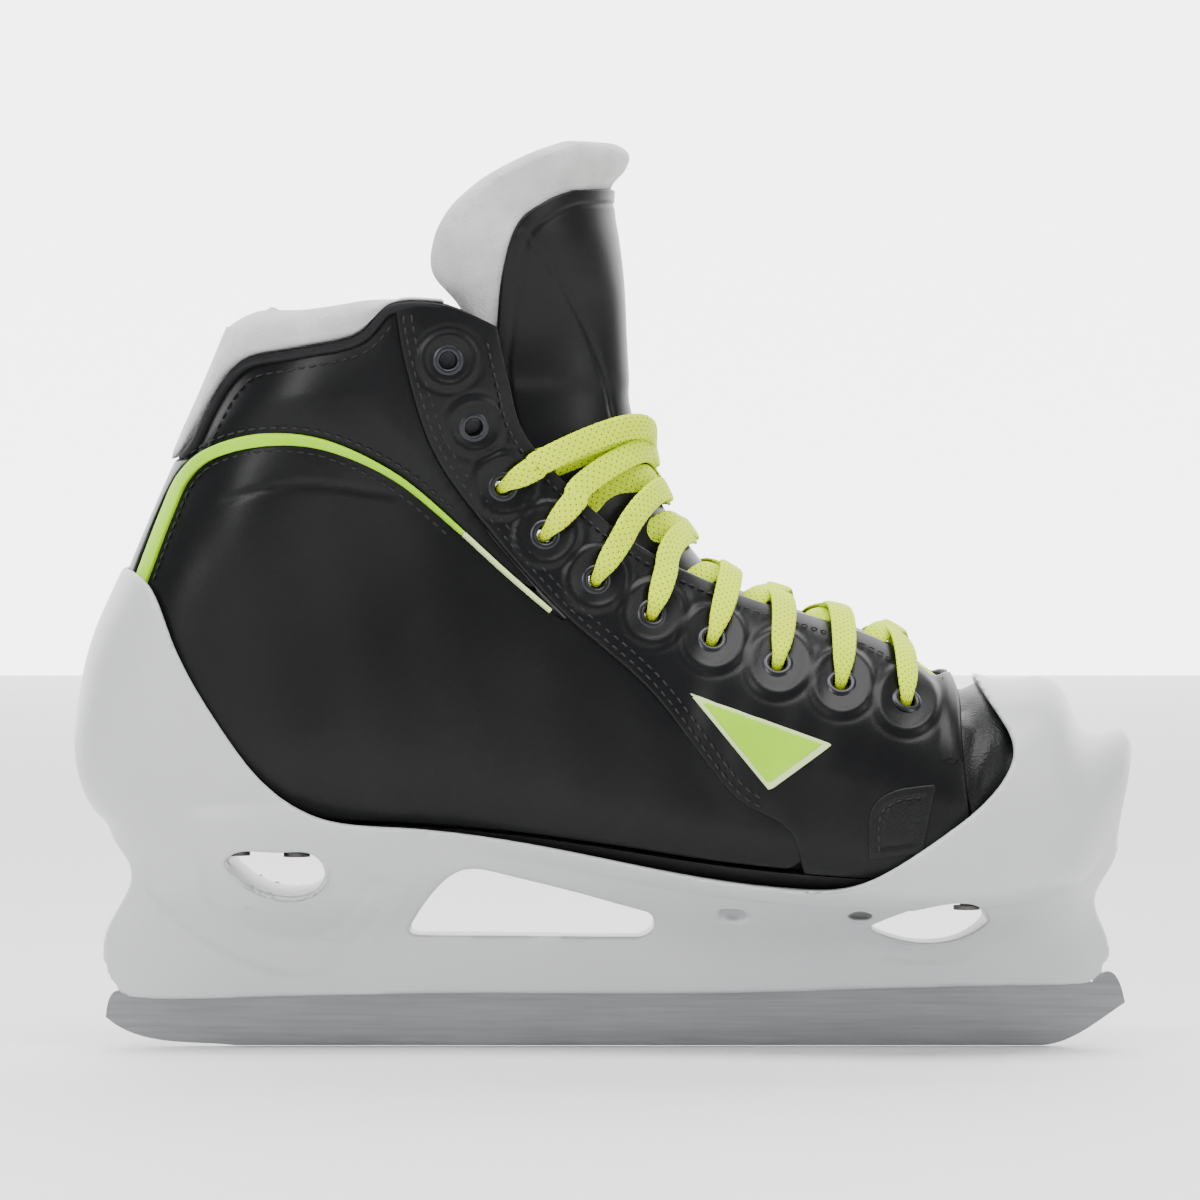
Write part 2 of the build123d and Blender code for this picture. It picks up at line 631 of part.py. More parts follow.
def tongue_upper():
    """The part above the top lace that folds forward: a felt wrap with a leather face."""
    base = TONGUE_HINGE[1]
    wrap = outline(
        [(30, base), (-24, base)],
        [(-24, base), (-34, 205), (-41, 224)],
        [(-41, 224), (-51.5, 226)],
        [(-51.5, 226), (-51.6, 238.7), (-46.2, 251.5), (-36.4, 260.5), (-15.8, 271.2), (-2, 272.4)],
        [(-2, 272.4), (30, 272.4)],
        [(30, 272.4), (30, base)],
    )
    face = outline(
        [(30, base), (-14, base)],
        [(-14, base), (-29, 217), (-29.5, 233.3), (-25.5, 247.6), (-9.2, 258), (0.5, 258.5)],
        [(0.5, 258.5), (30, 258.5)],
        [(30, 258.5), (30, base)],
    )
    leather = (tongue_form(0.0) & cutter(face)) - tongue_form(1.5)
    felt = (tongue_form(1.6) & cutter(wrap)) - tongue_form(9.0)
    return largest(leather), largest(felt)


# ---- lace ---------------------------------------------------------------------------------------


def lace():
    """Flat lace drawn tight over the throat from each eyelet on one side to its partner."""
    solids = []
    for (x, z), (tx, tz) in zip(EYELETS[FIRST_LACED:], LACE_TURN):
        ex, ez = unit(tx - x, tz - z)
        half = LACE_WIDTH / 2.0
        start_x, start_z = x + ex * 5.2, z + ez * 5.2
        end_x, end_z = tx + ex * 9.0, tz + ez * 9.0
        strip = polygon(
            (start_x - ez * half, start_z + ex * half),
            (end_x - ez * half, end_z + ex * half),
            (end_x + ez * half, end_z - ex * half),
            (start_x + ez * half, start_z - ex * half),
        )
        solids.append(largest(layer(LACE_LAYER, cutter(strip))))
    return Compound(children=solids)


# ---- all pieces ---------------------------------------------------------------------------------


def main():
    parts = {
        "runner": runner(),
        "cowling": cowling(),
        "outsole": outsole(),
        "insole": insole(),
        "vamp": vamp(),
        "toe_box": toe_box(),
        "heel_counter": heel_counter(),
        "collar_felt": collar_felt(),
        "backstay": backstay(),
        "lace": lace(),
    }
    for name, x in (("rear", REAR_BOLT_X), ("front", FRONT_BOLT_X)):
        parts[f"runner_bolt_{name}"] = runner_bolt(x)
        parts[f"runner_nut_{name}"] = runner_nut(x)
        parts[f"runner_washer_{name}"] = runner_washer(x)
        parts[f"sole_rivets_{name}"] = rivets(name)
    for name, side in (("outer", -1), ("inner", 1)):
        quarter, collar, facing = boot_panels(side)
        parts[f"quarter_{name}"] = quarter
        parts[f"collar_{name}"] = collar
        parts[f"facing_{name}"] = facing
        parts[f"collar_binding_{name}"] = collar_binding(side)
        parts[f"lining_{name}"] = lining(side)
        parts[f"ankle_pad_{name}"] = ankle_pad(side)
        parts[f"stripe_{name}"] = stripe(side)
        parts[f"emblem_{name}"] = emblem(side)
        parts[f"toe_patch_{name}"] = toe_patch(side)
        parts[f"eyelets_{name}"] = eyelets(side)
    parts["tongue_face_lower"], parts["tongue_felt_lower"] = tongue_lower()
    parts["tongue_face_upper"], parts["tongue_felt_upper"] = tongue_upper()
    for name, shape in parts.items():
        export_step(shape, f"parts/{name}.step")


main()
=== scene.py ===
"""The looks of a goalie's hockey skate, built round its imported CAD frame.

Shapes are worked out in millimetres, in the CAD frame (+X toe, +Y inner side of the right foot, +Z up),
and turned into metres when a mesh is made.
"""
import math

import bpy
import numpy as np
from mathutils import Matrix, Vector


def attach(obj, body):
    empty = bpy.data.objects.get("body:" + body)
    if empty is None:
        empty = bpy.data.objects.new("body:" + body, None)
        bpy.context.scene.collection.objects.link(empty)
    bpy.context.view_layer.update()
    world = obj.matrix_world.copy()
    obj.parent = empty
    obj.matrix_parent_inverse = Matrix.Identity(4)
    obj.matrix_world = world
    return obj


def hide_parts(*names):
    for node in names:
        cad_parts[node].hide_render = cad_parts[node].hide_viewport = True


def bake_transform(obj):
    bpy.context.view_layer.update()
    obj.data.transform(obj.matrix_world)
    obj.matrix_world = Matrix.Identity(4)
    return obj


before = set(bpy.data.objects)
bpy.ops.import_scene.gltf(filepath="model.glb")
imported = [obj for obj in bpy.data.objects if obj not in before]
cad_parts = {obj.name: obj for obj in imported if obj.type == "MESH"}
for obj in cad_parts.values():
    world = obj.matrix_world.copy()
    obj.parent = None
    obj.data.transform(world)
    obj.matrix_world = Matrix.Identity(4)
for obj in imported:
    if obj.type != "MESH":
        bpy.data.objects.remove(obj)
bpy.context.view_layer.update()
MM = 0.001
OUTER, INNER = -1, 1
SIDES = (("outer", OUTER), ("inner", INNER))

# ---- the boot's form: the same stations as the CAD ------------------------------------------------
# bottom or back x, z, top or front x, z, half width outside and inside, squareness at the back and at
# the front, rise of the widest point, share of an offset that goes along the foot
STATIONS = np.array([
    (150.5, 60.0, 153.5, 80.0, 15.0, 19.0, 3.0, 2.4, 1.0, 0.95),
    (143.0, 54.0, 147.4, 92.2, 28.0, 31.0, 3.4, 2.3, 1.05, 0.75),
    (132.0, 50.2, 138.2, 101.0, 38.0, 39.0, 3.8, 2.3, 1.1, 0.5),
    (115.0, 47.6, 126.0, 107.6, 45.5, 44.0, 4.2, 2.2, 1.15, 0.2),
    (92.0, 47.0, 106.0, 112.0, 50.0, 46.5, 4.4, 2.1, 1.2, 0.0),
    (65.0, 48.2, 84.0, 126.3, 49.5, 45.5, 4.4, 2.0, 1.2, 0.0),
    (35.0, 51.0, 60.0, 133.8, 46.0, 42.0, 4.3, 2.0, 1.2, 0.0),
    (0.0, 56.0, 36.0, 143.8, 40.5, 37.5, 4.2, 2.0, 1.15, 0.0),
    (-35.0, 60.3, 20.5, 163.0, 38.0, 37.0, 4.0, 2.1, 1.1, 0.0),
    (-75.0, 62.6, 15.0, 177.0, 38.5, 38.5, 3.8, 2.2, 1.05, 0.0),
    (-112.0, 63.4, 14.5, 186.0, 38.0, 38.0, 3.4, 2.2, 1.0, 0.0),
    (-138.0, 65.5, 14.2, 194.0, 37.0, 37.5, 3.1, 2.3, 1.0, 0.0),
    (-152.0, 77.0, 13.6, 201.0, 37.0, 37.5, 3.0, 2.3, 1.0, 0.0),
    (-156.0, 97.0, 13.0, 208.0, 38.0, 38.5, 2.9, 2.3, 1.0, 0.0),
    (-152.5, 119.0, 12.3, 214.5, 39.5, 40.0, 2.8, 2.3, 1.0, 0.0),
    (-144.5, 139.5, 11.7, 221.0, 41.0, 41.5, 2.7, 2.3, 1.0, 0.0),
    (-136.0, 160.0, 11.0, 229.0, 42.0, 42.5, 2.6, 2.3, 1.0, 0.0),
    (-127.0, 180.0, 10.0, 238.5, 42.5, 43.0, 2.6, 2.3, 1.0, 0.0),
    (-117.0, 200.0, 8.7, 248.0, 43.0, 43.5, 2.6, 2.3, 1.0, 0.0),
    (-108.0, 220.0, 7.3, 259.0, 43.5, 44.0, 2.6, 2.3, 1.0, 0.0),
    (-98.0, 242.0, 5.0, 272.0, 44.0, 44.5, 2.6, 2.3, 1.0, 0.0),
])
LAST = len(STATIONS) - 1


def between(a, b, c, d, t):
    """Catmull-Rom between b and c."""
    return 0.5 * (2 * b + (c - a) * t + (2 * a - 5 * b + 4 * c - d) * t**2 + (3 * b - a - 3 * c + d) * t**3)


def spline_rows(rows, at):
    """Catmull-Rom through rows, at fractional row numbers."""
    rows = np.asarray(rows, float)
    at = np.clip(np.asarray(at, float), 0, len(rows) - 1 - 1e-9)
    k = at.astype(int)
    t = (at - k)[..., None]
    before, after = np.maximum(k - 1, 0), np.minimum(k + 2, len(rows) - 1)
    return between(rows[before], rows[k], rows[k + 1], rows[after], t)


def form(u, q, offset=0.0):
    """Points of the boot's form. u runs along the stations. q runs round a section: 0 back, 1 inner side,
    2 front, 3 outer side, 4 back again."""
    u, q, offset = np.broadcast_arrays(np.asarray(u, float), np.asarray(q, float), np.asarray(offset, float))
    s = spline_rows(STATIONS, u)
    bx, bz, tx, tz, outer, inner, back, front, rise, lean = np.moveaxis(s, -1, 0)
    lean = np.clip(lean, 0, 0.97)
    q = np.mod(q, 4.0)
    t = 1.0 - np.abs(np.mod(q, 2.0) - 1.0)
    power = np.where((q <= 1.0) | (q >= 3.0), back, front)
    norm = (t**power + (1.0 - t) ** power) ** (1.0 / power)
    level = np.where((q <= 1.0) | (q >= 3.0), -1.0, 1.0) * (1.0 - t) / norm
    length = np.hypot(tx - bx, tz - bz)
    ex, ez = (tx - bx) / length, (tz - bz) / length
    across, along = offset * np.sqrt(1.0 - lean**2), offset * lean
    height = (0.5 * (1.0 + level)) ** rise
    reach = height * (length + 2 * across) - across
    half = np.where(q > 2.0, outer, inner) + across
    y = np.where(q > 2.0, -1.0, 1.0) * half * t / norm
    return np.stack([bx + ex * reach + ez * along, y, bz + ez * reach - ex * along], -1)


def form_normal(u, q, offset=0.0):
    e = 0.01
    du = form(np.minimum(u + e, LAST), q, offset) - form(np.maximum(u - e, 0), q, offset)
    dq = form(u, q + e, offset) - form(u, q - e, offset)
    n = np.cross(du, dq)
    n /= np.linalg.norm(n, axis=-1, keepdims=True) + 1e-12
    out = form(u, q, offset + 1.0) - form(u, q, offset)
    return n * np.sign(np.sum(n * out, -1, keepdims=True) + 1e-12)


FIND_U, FIND_Q = np.meshgrid(np.linspace(0, LAST, 401), np.linspace(0, 2, 201), indexing="ij")
FIND_XZ = {}


def find(x, z, side):
    """The (u, q) of side-view points on one side of the form."""
    if side not in FIND_XZ:
        q = FIND_Q if side == INNER else 4.0 - FIND_Q
        FIND_XZ[side] = (q, form(FIND_U, q)[..., [0, 2]])
    q, grid = FIND_XZ[side]
    found = []
    for px, pz in zip(np.atleast_1d(x), np.atleast_1d(z)):
        miss = (grid[..., 0] - px) ** 2 + (grid[..., 1] - pz) ** 2
        i = np.unravel_index(np.argmin(miss), miss.shape)
        u0, q0, su, sq = FIND_U[i], q[i], 0.05, 0.01
        for _ in range(4):
            steps = np.linspace(-1, 1, 7)
            uu, qq = np.meshgrid(u0 + su * steps, q0 + sq * steps, indexing="ij")
            uu = np.clip(uu, 0, LAST)
            p = form(uu, qq)
            miss = (p[..., 0] - px) ** 2 + (p[..., 2] - pz) ** 2
            i = np.unravel_index(np.argmin(miss), miss.shape)
            u0, q0, su, sq = uu[i], qq[i], su / 3, sq / 3
        found.append((u0, q0))
    return np.array(found)


def curve(points, count=120):
    """A smooth side-view line through given points."""
    rows = np.array(points, float)
    return spline_rows(rows, np.linspace(0, len(rows) - 1, count))


def ring(points, count):
    """A smooth closed line through given points."""
    rows = np.vstack([points[-1:], points, points[:2]])
    return spline_rows(rows, np.linspace(1, len(rows) - 2, count, endpoint=False))


def joined(*lines):
    return np.vstack(lines)


def shifted(line, reach):
    """A side-view line moved sideways, to the left of its direction."""
    along = np.gradient(line, axis=0)
    along /= np.linalg.norm(along, axis=1, keepdims=True) + 1e-12
    return line + reach * np.stack([-along[:, 1], along[:, 0]], 1)


def inside_distance(x, z, outline):
    """Distance from the outline, positive inside it."""
    a, b = outline, np.roll(outline, -1, 0)
    keep = np.hypot(*(b - a).T) > 1e-6
    a, b = a[keep], b[keep]
    best = np.full(x.shape, 1e9)
    odd = np.zeros(x.shape, bool)
    for (ax, az), (bx, bz) in zip(a, b):
        dx, dz = bx - ax, bz - az
        t = np.clip(((x - ax) * dx + (z - az) * dz) / (dx * dx + dz * dz), 0, 1)
        best = np.minimum(best, (x - ax - t * dx) ** 2 + (z - az - t * dz) ** 2)
        crosses = (az > z) != (bz > z)
        if abs(dz) > 1e-12:
            odd ^= crosses & (x < ax + (z - az) * dx / dz)
    return np.where(odd, 1.0, -1.0) * np.sqrt(best)


# ---- mesh helpers ---------------------------------------------------------------------------------


def placed(name, data):
    """A new object in the scene."""
    obj = bpy.data.objects.new(name, data)
    bpy.context.scene.collection.objects.link(obj)
    return obj


def make(name, points, faces, sharp=None, uv=None):
    """A smooth-shaded mesh object from points in millimetres. Edges past the sharp angle stay crisp."""
    mesh = bpy.data.meshes.new(name)
    mesh.from_pydata((np.asarray(points) * MM).tolist(), [], [tuple(int(i) for i in f) for f in faces])
    if uv is not None:
        layer = mesh.uv_layers.new(name="UVMap")
        corners = np.zeros(len(mesh.loops), np.int32)
        mesh.loops.foreach_get("vertex_index", corners)
        layer.data.foreach_set("uv", np.asarray(uv, float)[corners].ravel())
    mesh.validate()
    mesh.shade_smooth()
    if sharp:
        mesh.set_sharp_from_angle(angle=math.radians(sharp))
    return placed(name, mesh)


def turned_outward(points, tris, out):
    """The triangles, wound so that their normals point the way of out."""
    e1 = points[tris[:, 1]] - points[tris[:, 0]]
    e2 = points[tris[:, 2]] - points[tris[:, 0]]
    return tris[:, ::-1] if np.sum(np.cross(e1, e2) * out[tris[:, 0]]) < 0 else tris


def tube_faces(count, segments):
    """Faces of a capped tube made of count rings, each of so many segments."""
    i, j = np.meshgrid(np.arange(count - 1), np.arange(segments), indexing="ij")
    k = (j + 1) % segments
    quads = np.stack([i * segments + j, (i + 1) * segments + j, (i + 1) * segments + k, i * segments + k], -1)
    faces = [tuple(f) for f in quads.reshape(-1, 4)]
    faces.append(tuple(range(segments)))
    faces.append(tuple((count - 1) * segments + j for j in range(segments))[::-1])
    return faces


def line_distance(p, line):
    """Side-view distance from each point to a line."""
    return np.min(np.hypot(p[:, None, 0] - line[None, :, 0], p[:, None, 2] - line[None, :, 1]), 1)


def run_along(line):
    """Length travelled at each point of a line."""
    return np.concatenate([[0], np.cumsum(np.linalg.norm(np.diff(line, axis=0), axis=1))])


def split(data, tris, column, level):
    """Cuts triangles where one column of their corner data crosses a level."""
    above = data[tris, column] > level
    count = above.sum(1)
    whole = tris[(count == 0) | (count == 3)]
    cut, above = tris[(count == 1) | (count == 2)], above[(count == 1) | (count == 2)]
    if not len(cut):
        return data, tris
    lone = np.where(above.sum(1) == 1, np.argmax(above, 1), np.argmin(above, 1))
    rows = np.arange(len(cut))
    a, b, c = cut[rows, lone], cut[rows, (lone + 1) % 3], cut[rows, (lone + 2) % 3]
    pairs = np.sort(np.concatenate([np.stack([a, b], 1), np.stack([a, c], 1)]), 1)
    unique, index = np.unique(pairs, axis=0, return_inverse=True)
    index = index.ravel()
    lo, hi = data[unique[:, 0]], data[unique[:, 1]]
    share = (level - lo[:, column]) / (hi[:, column] - lo[:, column])
    fresh = lo + (hi - lo) * share[:, None]
    fresh[:, column] = level
    p, r = index[: len(cut)] + len(data), index[len(cut):] + len(data)
    new = np.concatenate([np.stack([a, p, r], 1), np.stack([p, b, c], 1), np.stack([p, c, r], 1)])
    return np.vstack([data, fresh]), np.vstack([whole, new])


def refine(data, tris):
    """Quarters every triangle."""
    edges = np.sort(np.concatenate([tris[:, [0, 1]], tris[:, [1, 2]], tris[:, [2, 0]]]), 1)
    unique, index = np.unique(edges, axis=0, return_inverse=True)
    index = index.ravel() + len(data)
    fresh = 0.5 * (data[unique[:, 0]] + data[unique[:, 1]])
    m = len(tris)
    ab, bc, ca = index[:m], index[m:2 * m], index[2 * m:]
    a, b, c = tris.T
    quarters = [(a, ab, ca), (ab, b, bc), (ca, bc, c), (ab, bc, ca)]
    return np.vstack([data, fresh]), np.vstack([np.stack(t, 1) for t in quarters])


def compact(data, tris):
    used, index = np.unique(tris, return_inverse=True)
    return data[used], index.reshape(-1, 3)


def boundary(tris):
    edges = np.concatenate([tris[:, [0, 1]], tris[:, [1, 2]], tris[:, [2, 0]]])
    key = np.sort(edges, 1)
    _, first, count = np.unique(key, axis=0, return_index=True, return_counts=True)
    return edges[first[count == 1]]


def solid(name, top, bottom, tris, sharp=55):
    """A closed shell between two sheets of points with the same triangles."""
    n = len(top)
    rim = boundary(tris)
    walls = np.concatenate([
        np.stack([rim[:, 1], rim[:, 0], rim[:, 0] + n], 1),
        np.stack([rim[:, 1], rim[:, 0] + n, rim[:, 1] + n], 1),
    ])
    faces = np.vstack([tris, tris[:, ::-1] + n, walls])
    return make(name, np.vstack([top, bottom]), faces, sharp=sharp)


def base_grid(u_range, q_range, rows, columns):
    """A patch of a surface as triangles, with u and q for each corner."""
    uu, qq = np.meshgrid(np.linspace(*u_range, rows + 1), np.linspace(*q_range, columns + 1), indexing="ij")
    index = np.arange(uu.size).reshape(uu.shape)
    a, b, c, d = index[:-1, :-1], index[1:, :-1], index[1:, 1:], index[:-1, 1:]
    tris = np.concatenate([np.stack([a, b, c], -1).reshape(-1, 3), np.stack([a, c, d], -1).reshape(-1, 3)])
    return np.stack([uu.ravel(), qq.ravel()], 1), tris


def rounded(d, radius):
    """Height lost at distance d from an edge that is rounded over."""
    t = np.clip(1.0 - d / radius, 0, 1)
    return radius * (1.0 - np.sqrt(np.clip(1.0 - t * t, 0, 1)))


HALF = {OUTER: (2.0, 4.0), INNER: (0.0, 2.0), None: (0.0, 4.0), "back": (-0.7, 0.7)}


def panel(name, outline, side, top, bottom, radius=0.7, bulge=0.0, bulge_width=14.0, extra=None, fine=0,
          holes=(), surface=form, u_range=(0, LAST), grid=(240, 100)):
    """A layer of leather or felt: the part of a surface inside a side outline, between two offsets.
    Its edges are rounded over, bulge swells it between them and holes are (x, z, radius)."""

    def reach(data):
        p = surface(data[:, 0], data[:, 1])
        d = inside_distance(p[:, 0], p[:, 2], outline)
        for x, z, r in holes:
            d = np.minimum(d, np.hypot(p[:, 0] - x, p[:, 2] - z) - r)
        return d

    data, tris = base_grid(u_range, HALF.get(side, side), *grid)
    data = np.column_stack([data, reach(data)])
    data, tris = compact(data, tris[(data[tris, 2] > -6).any(1)])
    for _ in range(fine):
        data, tris = refine(data, tris)
        data[:, 2] = reach(data)
    data, tris = split(data, tris, 2, 0.0)
    tris = tris[data[tris, 2].mean(1) > 1e-6]
    for share in (0.12, 0.35, 0.7, 1.0, 1.6):
        data, tris = split(data, tris, 2, share * radius)
    data, tris = compact(data, tris)
    u, q, d = data.T
    high = top - rounded(d, radius) + bulge * (1.0 - np.exp(-d / bulge_width))
    if extra is not None:
        high = high + extra(surface(u, q), d)
    low = np.full(len(u), float(bottom))
    high = np.maximum(high, low + 0.05)
    points_top, points_low = surface(u, q, high), surface(u, q, low)
    tris = turned_outward(points_top, tris, surface(u, q, 1.0) - surface(u, q, 0.0))
    return solid(name, points_top, points_low, tris)


def sweep(path, across, widths, thick, segments=16):
    """A flat soft band along a path: widths along the across directions, thickness square to them."""
    path, across = np.asarray(path, float), np.asarray(across, float)
    along = np.gradient(path, axis=0)
    along /= np.linalg.norm(along, axis=1, keepdims=True) + 1e-12
    across = across - along * np.sum(along * across, 1, keepdims=True)
    across /= np.linalg.norm(across, axis=1, keepdims=True) + 1e-12
    normals = np.cross(across, along)
    widths, thick = np.broadcast_to(widths, len(path)), np.broadcast_to(thick, len(path))
    a = np.linspace(0, 2 * math.pi, segments, endpoint=False)
    cx = np.sign(np.cos(a)) * np.abs(np.cos(a)) ** 0.62
    cz = np.sign(np.sin(a)) * np.abs(np.sin(a)) ** 0.8
    rings = (path[:, None] + across[:, None] * (cx[None, :, None] * widths[:, None, None] / 2)
             + normals[:, None] * (cz[None, :, None] * thick[:, None, None] / 2))
    uv = np.stack([np.repeat(run_along(path), segments), np.tile(cx * 0.5 + 0.5, len(path))], 1)
    return rings.reshape(-1, 3), tube_faces(len(path), segments), uv


def merged(name, pieces):
    """One mesh object from several swept bands."""
    points, faces, uvs, start = [], [], [], 0
    for p, f, uv in pieces:
        points.append(p)
        uvs.append(uv)
        faces += [tuple(i + start for i in face) for face in f]
        start += len(p)
    return make(name, np.vstack(points), faces, uv=np.vstack(uvs))


# ---- side outlines, as in the CAD -----------------------------------------------------------------
THROAT = [(-31.5, 217.0), (-28, 200.3), (-22.4, 183.3), (-2.1, 161.5), (13.1, 150.2), (28, 142.4),
          (45.6, 135.0), (62.9, 130.2), (83.4, 123.0), (98.5, 112.5)]
# a little further forward at the back than the CAD's, so that the notch over the heel stays open
COLLAR_TOP = [(-127.5, 178.5), (-123.8, 182.0), (-119.4, 191.0), (-114.0, 200.3), (-106.2, 207.0),
              (-91.8, 209.8), (-73.6, 214), (-63.5, 223.2), (-47.1, 223.5), (-31.5, 217.0)]
# the felt's top line on the boot's form
FELT_TOP = [(-125, 220.0), (-92, 220.6), (-80, 222.4), (-73, 223.8), (-64, 224.6), (-56, 225.0), (-40, 225.4)]
FACING_SEAM = [(-61.7, 223), (-58.7, 205.9), (-51, 180.9), (-37.3, 160.3), (-12.8, 132.6), (14, 108.8),
               (37.8, 78.7), (56, 66), (60, 40)]
STRIPE_LINE = [(-139, 139), (-130.5, 161.5), (-124.9, 172.8), (-115.9, 179.7), (-99.8, 183.3), (-81.7, 181.5),
               (-61.1, 171.9), (-41.5, 155.5)]
PIPING_LINE = [(-41.5, 155.5), (-28.5, 143.6), (-15.5, 132.4)]
ARC_LINE = [(-112.6, 165.4), (-101, 168.5), (-90.3, 169.9), (-75, 169), (-62, 166.9)]
EMBLEM = [(25.3, 108.2), (67.9, 93.3), (49.2, 79.9)]
TOE_PATCH = [(78.5, 60), (79, 74.2), (85.8, 79.9), (98.3, 81.7), (94.5, 62)]
EYELETS = [(-45.9, 206.8), (-38.4, 187.1), (-29.8, 169.3), (-17.3, 155.0), (-2.1, 141.6), (14.6, 131.4),
           (32.5, 123.7), (51.9, 116.5), (70.6, 110.9), (90.0, 105.8)]
FIRST_LACED = 2
SOLE_LINE = [(115, 53.8), (92, 53), (65, 54.2), (35, 57), (0, 62), (-35, 66.3), (-75, 68.6), (-112, 69.4),
             (-138, 71), (-175, 74)]
LACE_SIDE = [(-13.0, 179.0), (-2.1, 172.8), (10.1, 161.2), (20.3, 150.8), (34.0, 142.4), (48.6, 136.8),
             (68.0, 131.0), (89.7, 125.0)]
LACE_RIDGE = [(10.0, 182.0), (14.3, 177.0), (18.5, 166.5), (26.5, 155.0), (38.0, 144.0), (52.0, 138.0),
              (69.0, 132.0), (87.0, 125.5)]

SEAM = curve(FACING_SEAM, 160)
THROAT_LINE = curve(THROAT, 200)
TOP_LINE = curve(COLLAR_TOP, 160)
SOLE_REACH = curve(SOLE_LINE) + [0, 0.15]
ARC = curve(ARC_LINE, 60)
FRONT_END = [(104.5, 112.5), (106.5, 106), (106.5, 96), (107.5, 80), (110, 66), (114.5, 54)]


def facing_outline():
    seam = SEAM[SEAM[:, 1] > 57]
    rear_top = TOP_LINE[TOP_LINE[:, 0] > -61.5]
    sole = SOLE_REACH[(SOLE_REACH[:, 0] > seam[-1, 0]) & (SOLE_REACH[:, 0] < 114)][::-1]
    return joined(rear_top, THROAT_LINE, curve(FRONT_END, 40), sole[::-1], seam[::-1])


def quarter_outline():
    stripe = curve(STRIPE_LINE + [(-30, 146), (-12, 130)], 160)
    seam = SEAM[(SEAM[:, 0] > -12) & (SEAM[:, 1] > 58)] + [4.0, 2.0]
    sole = SOLE_REACH[SOLE_REACH[:, 0] < 56]
    return joined([(-175, 139)], stripe, seam, sole, [(-175, 74)])


def collar_outline():
    stripe = curve(STRIPE_LINE + [(-30, 146), (-24, 140)], 160)
    seam = SEAM[(SEAM[:, 0] < -15) & (SEAM[:, 1] < 222)][::-1] + [5.0, 2.0]
    top = TOP_LINE[TOP_LINE[:, 0] < -57]
    return joined([(-175, 139)], stripe, seam, top[::-1], [(-175, 178.5)])


def closed_lane(line, width):
    """The outline of a strip along a line, given by its width from end to end."""
    half = np.broadcast_to(width, len(line))[:, None] / 2
    left, right = shifted(line, 1.0) - line, line
    return joined(right + left * half, (right - left * half)[::-1])


# ---- boot panels ----------------------------------------------------------------------------------
made = {}


def add(obj, material, slot=None, replaces=(), body="boot", blended=False):
    made[obj.name] = (obj, material, slot, replaces, body, blended)
    return obj


def eyelet_relief(p, d):
    """Leather pressed down round each eyelet, with a raised ring beyond, and swollen between them."""
    raised = np.zeros(len(p))
    for k, (x, z) in enumerate(EYELETS):
        r = np.hypot(p[:, 0] - x, p[:, 2] - z)
        ring = 8.6 if k >= FIRST_LACED else 7.4
        raised -= 0.75 * np.exp(-((r / 5.6) ** 4))
        raised += 0.55 * np.exp(-(((r - ring) / 1.1) ** 2)) * np.clip(d / 3, 0, 1)
        raised -= 0.25 * np.exp(-(((r - ring - 2.4) / 0.9) ** 2)) * np.clip(d / 3, 0, 1)
    return raised


def throat_swell(p, d):
    """Padding along the throat edge that fades out towards the sole."""
    return 1.1 * np.exp(-((line_distance(p, curve(EYELETS)[::3]) / 15.0) ** 2))


def facing_relief(p, d):
    """The eyelets' rings, the throat's padding, the sewn band at the front and soft folds."""
    front_band = 0.9 * np.exp(-(((p[:, 0] - 103.6) / 2.6) ** 4)) * (p[:, 2] > 88)
    folds = 0.18 * np.sin(p[:, 0] * 0.21 + 0.06 * p[:, 2]) + 0.12 * np.sin(p[:, 0] * 0.47 - 0.13 * p[:, 2])
    return eyelet_relief(p, d) + throat_swell(p, d) + front_band + folds * np.clip(d / 6, 0, 1)


def quarter_relief(p, d):
    """Soft waves that die out towards the panel's edge."""
    waves = 0.3 * np.sin(p[:, 0] * 0.105 + 0.6) + 0.2 * np.sin(p[:, 0] * 0.23 + 0.045 * p[:, 2])
    return waves * np.clip(d / 8, 0, 1)


def collar_relief(p, d):
    """A pressed arc over faint waves."""
    waves = 0.15 * np.sin(p[:, 0] * 0.2 + 0.1 * p[:, 2])
    return -0.5 * np.exp(-((line_distance(p, ARC) / 0.9) ** 2)) + waves * np.clip(d / 8, 0, 1)


def quarter_arc(p, d):
    """The quarter's waves and the pressed arc below the stripe."""
    return quarter_relief(p, d) - 0.55 * np.exp(-((line_distance(p, ARC) / 0.8) ** 2))


def toe_wrinkles(p, d):
    """Soft creases across the toe leather, and a dip behind the cowling's toe cap."""
    fold = 0.55 * np.sin(p[:, 0] * 0.62 + 1.4 * np.sin(p[:, 2] * 0.13 + p[:, 1] * 0.05))
    fold += 0.3 * np.sin(p[:, 0] * 1.1 - p[:, 2] * 0.21 + p[:, 1] * 0.07)
    under_cap = 2.4 * np.clip((p[:, 0] - 122) / 6, 0, 1)
    dip = under_cap + 3.2 * np.exp(-(((p[:, 0] - 107.5) / 3.6) ** 2)) * np.clip((p[:, 2] - 98) / 8, 0, 1)
    return fold * np.clip(d / 4, 0, 1) - dip


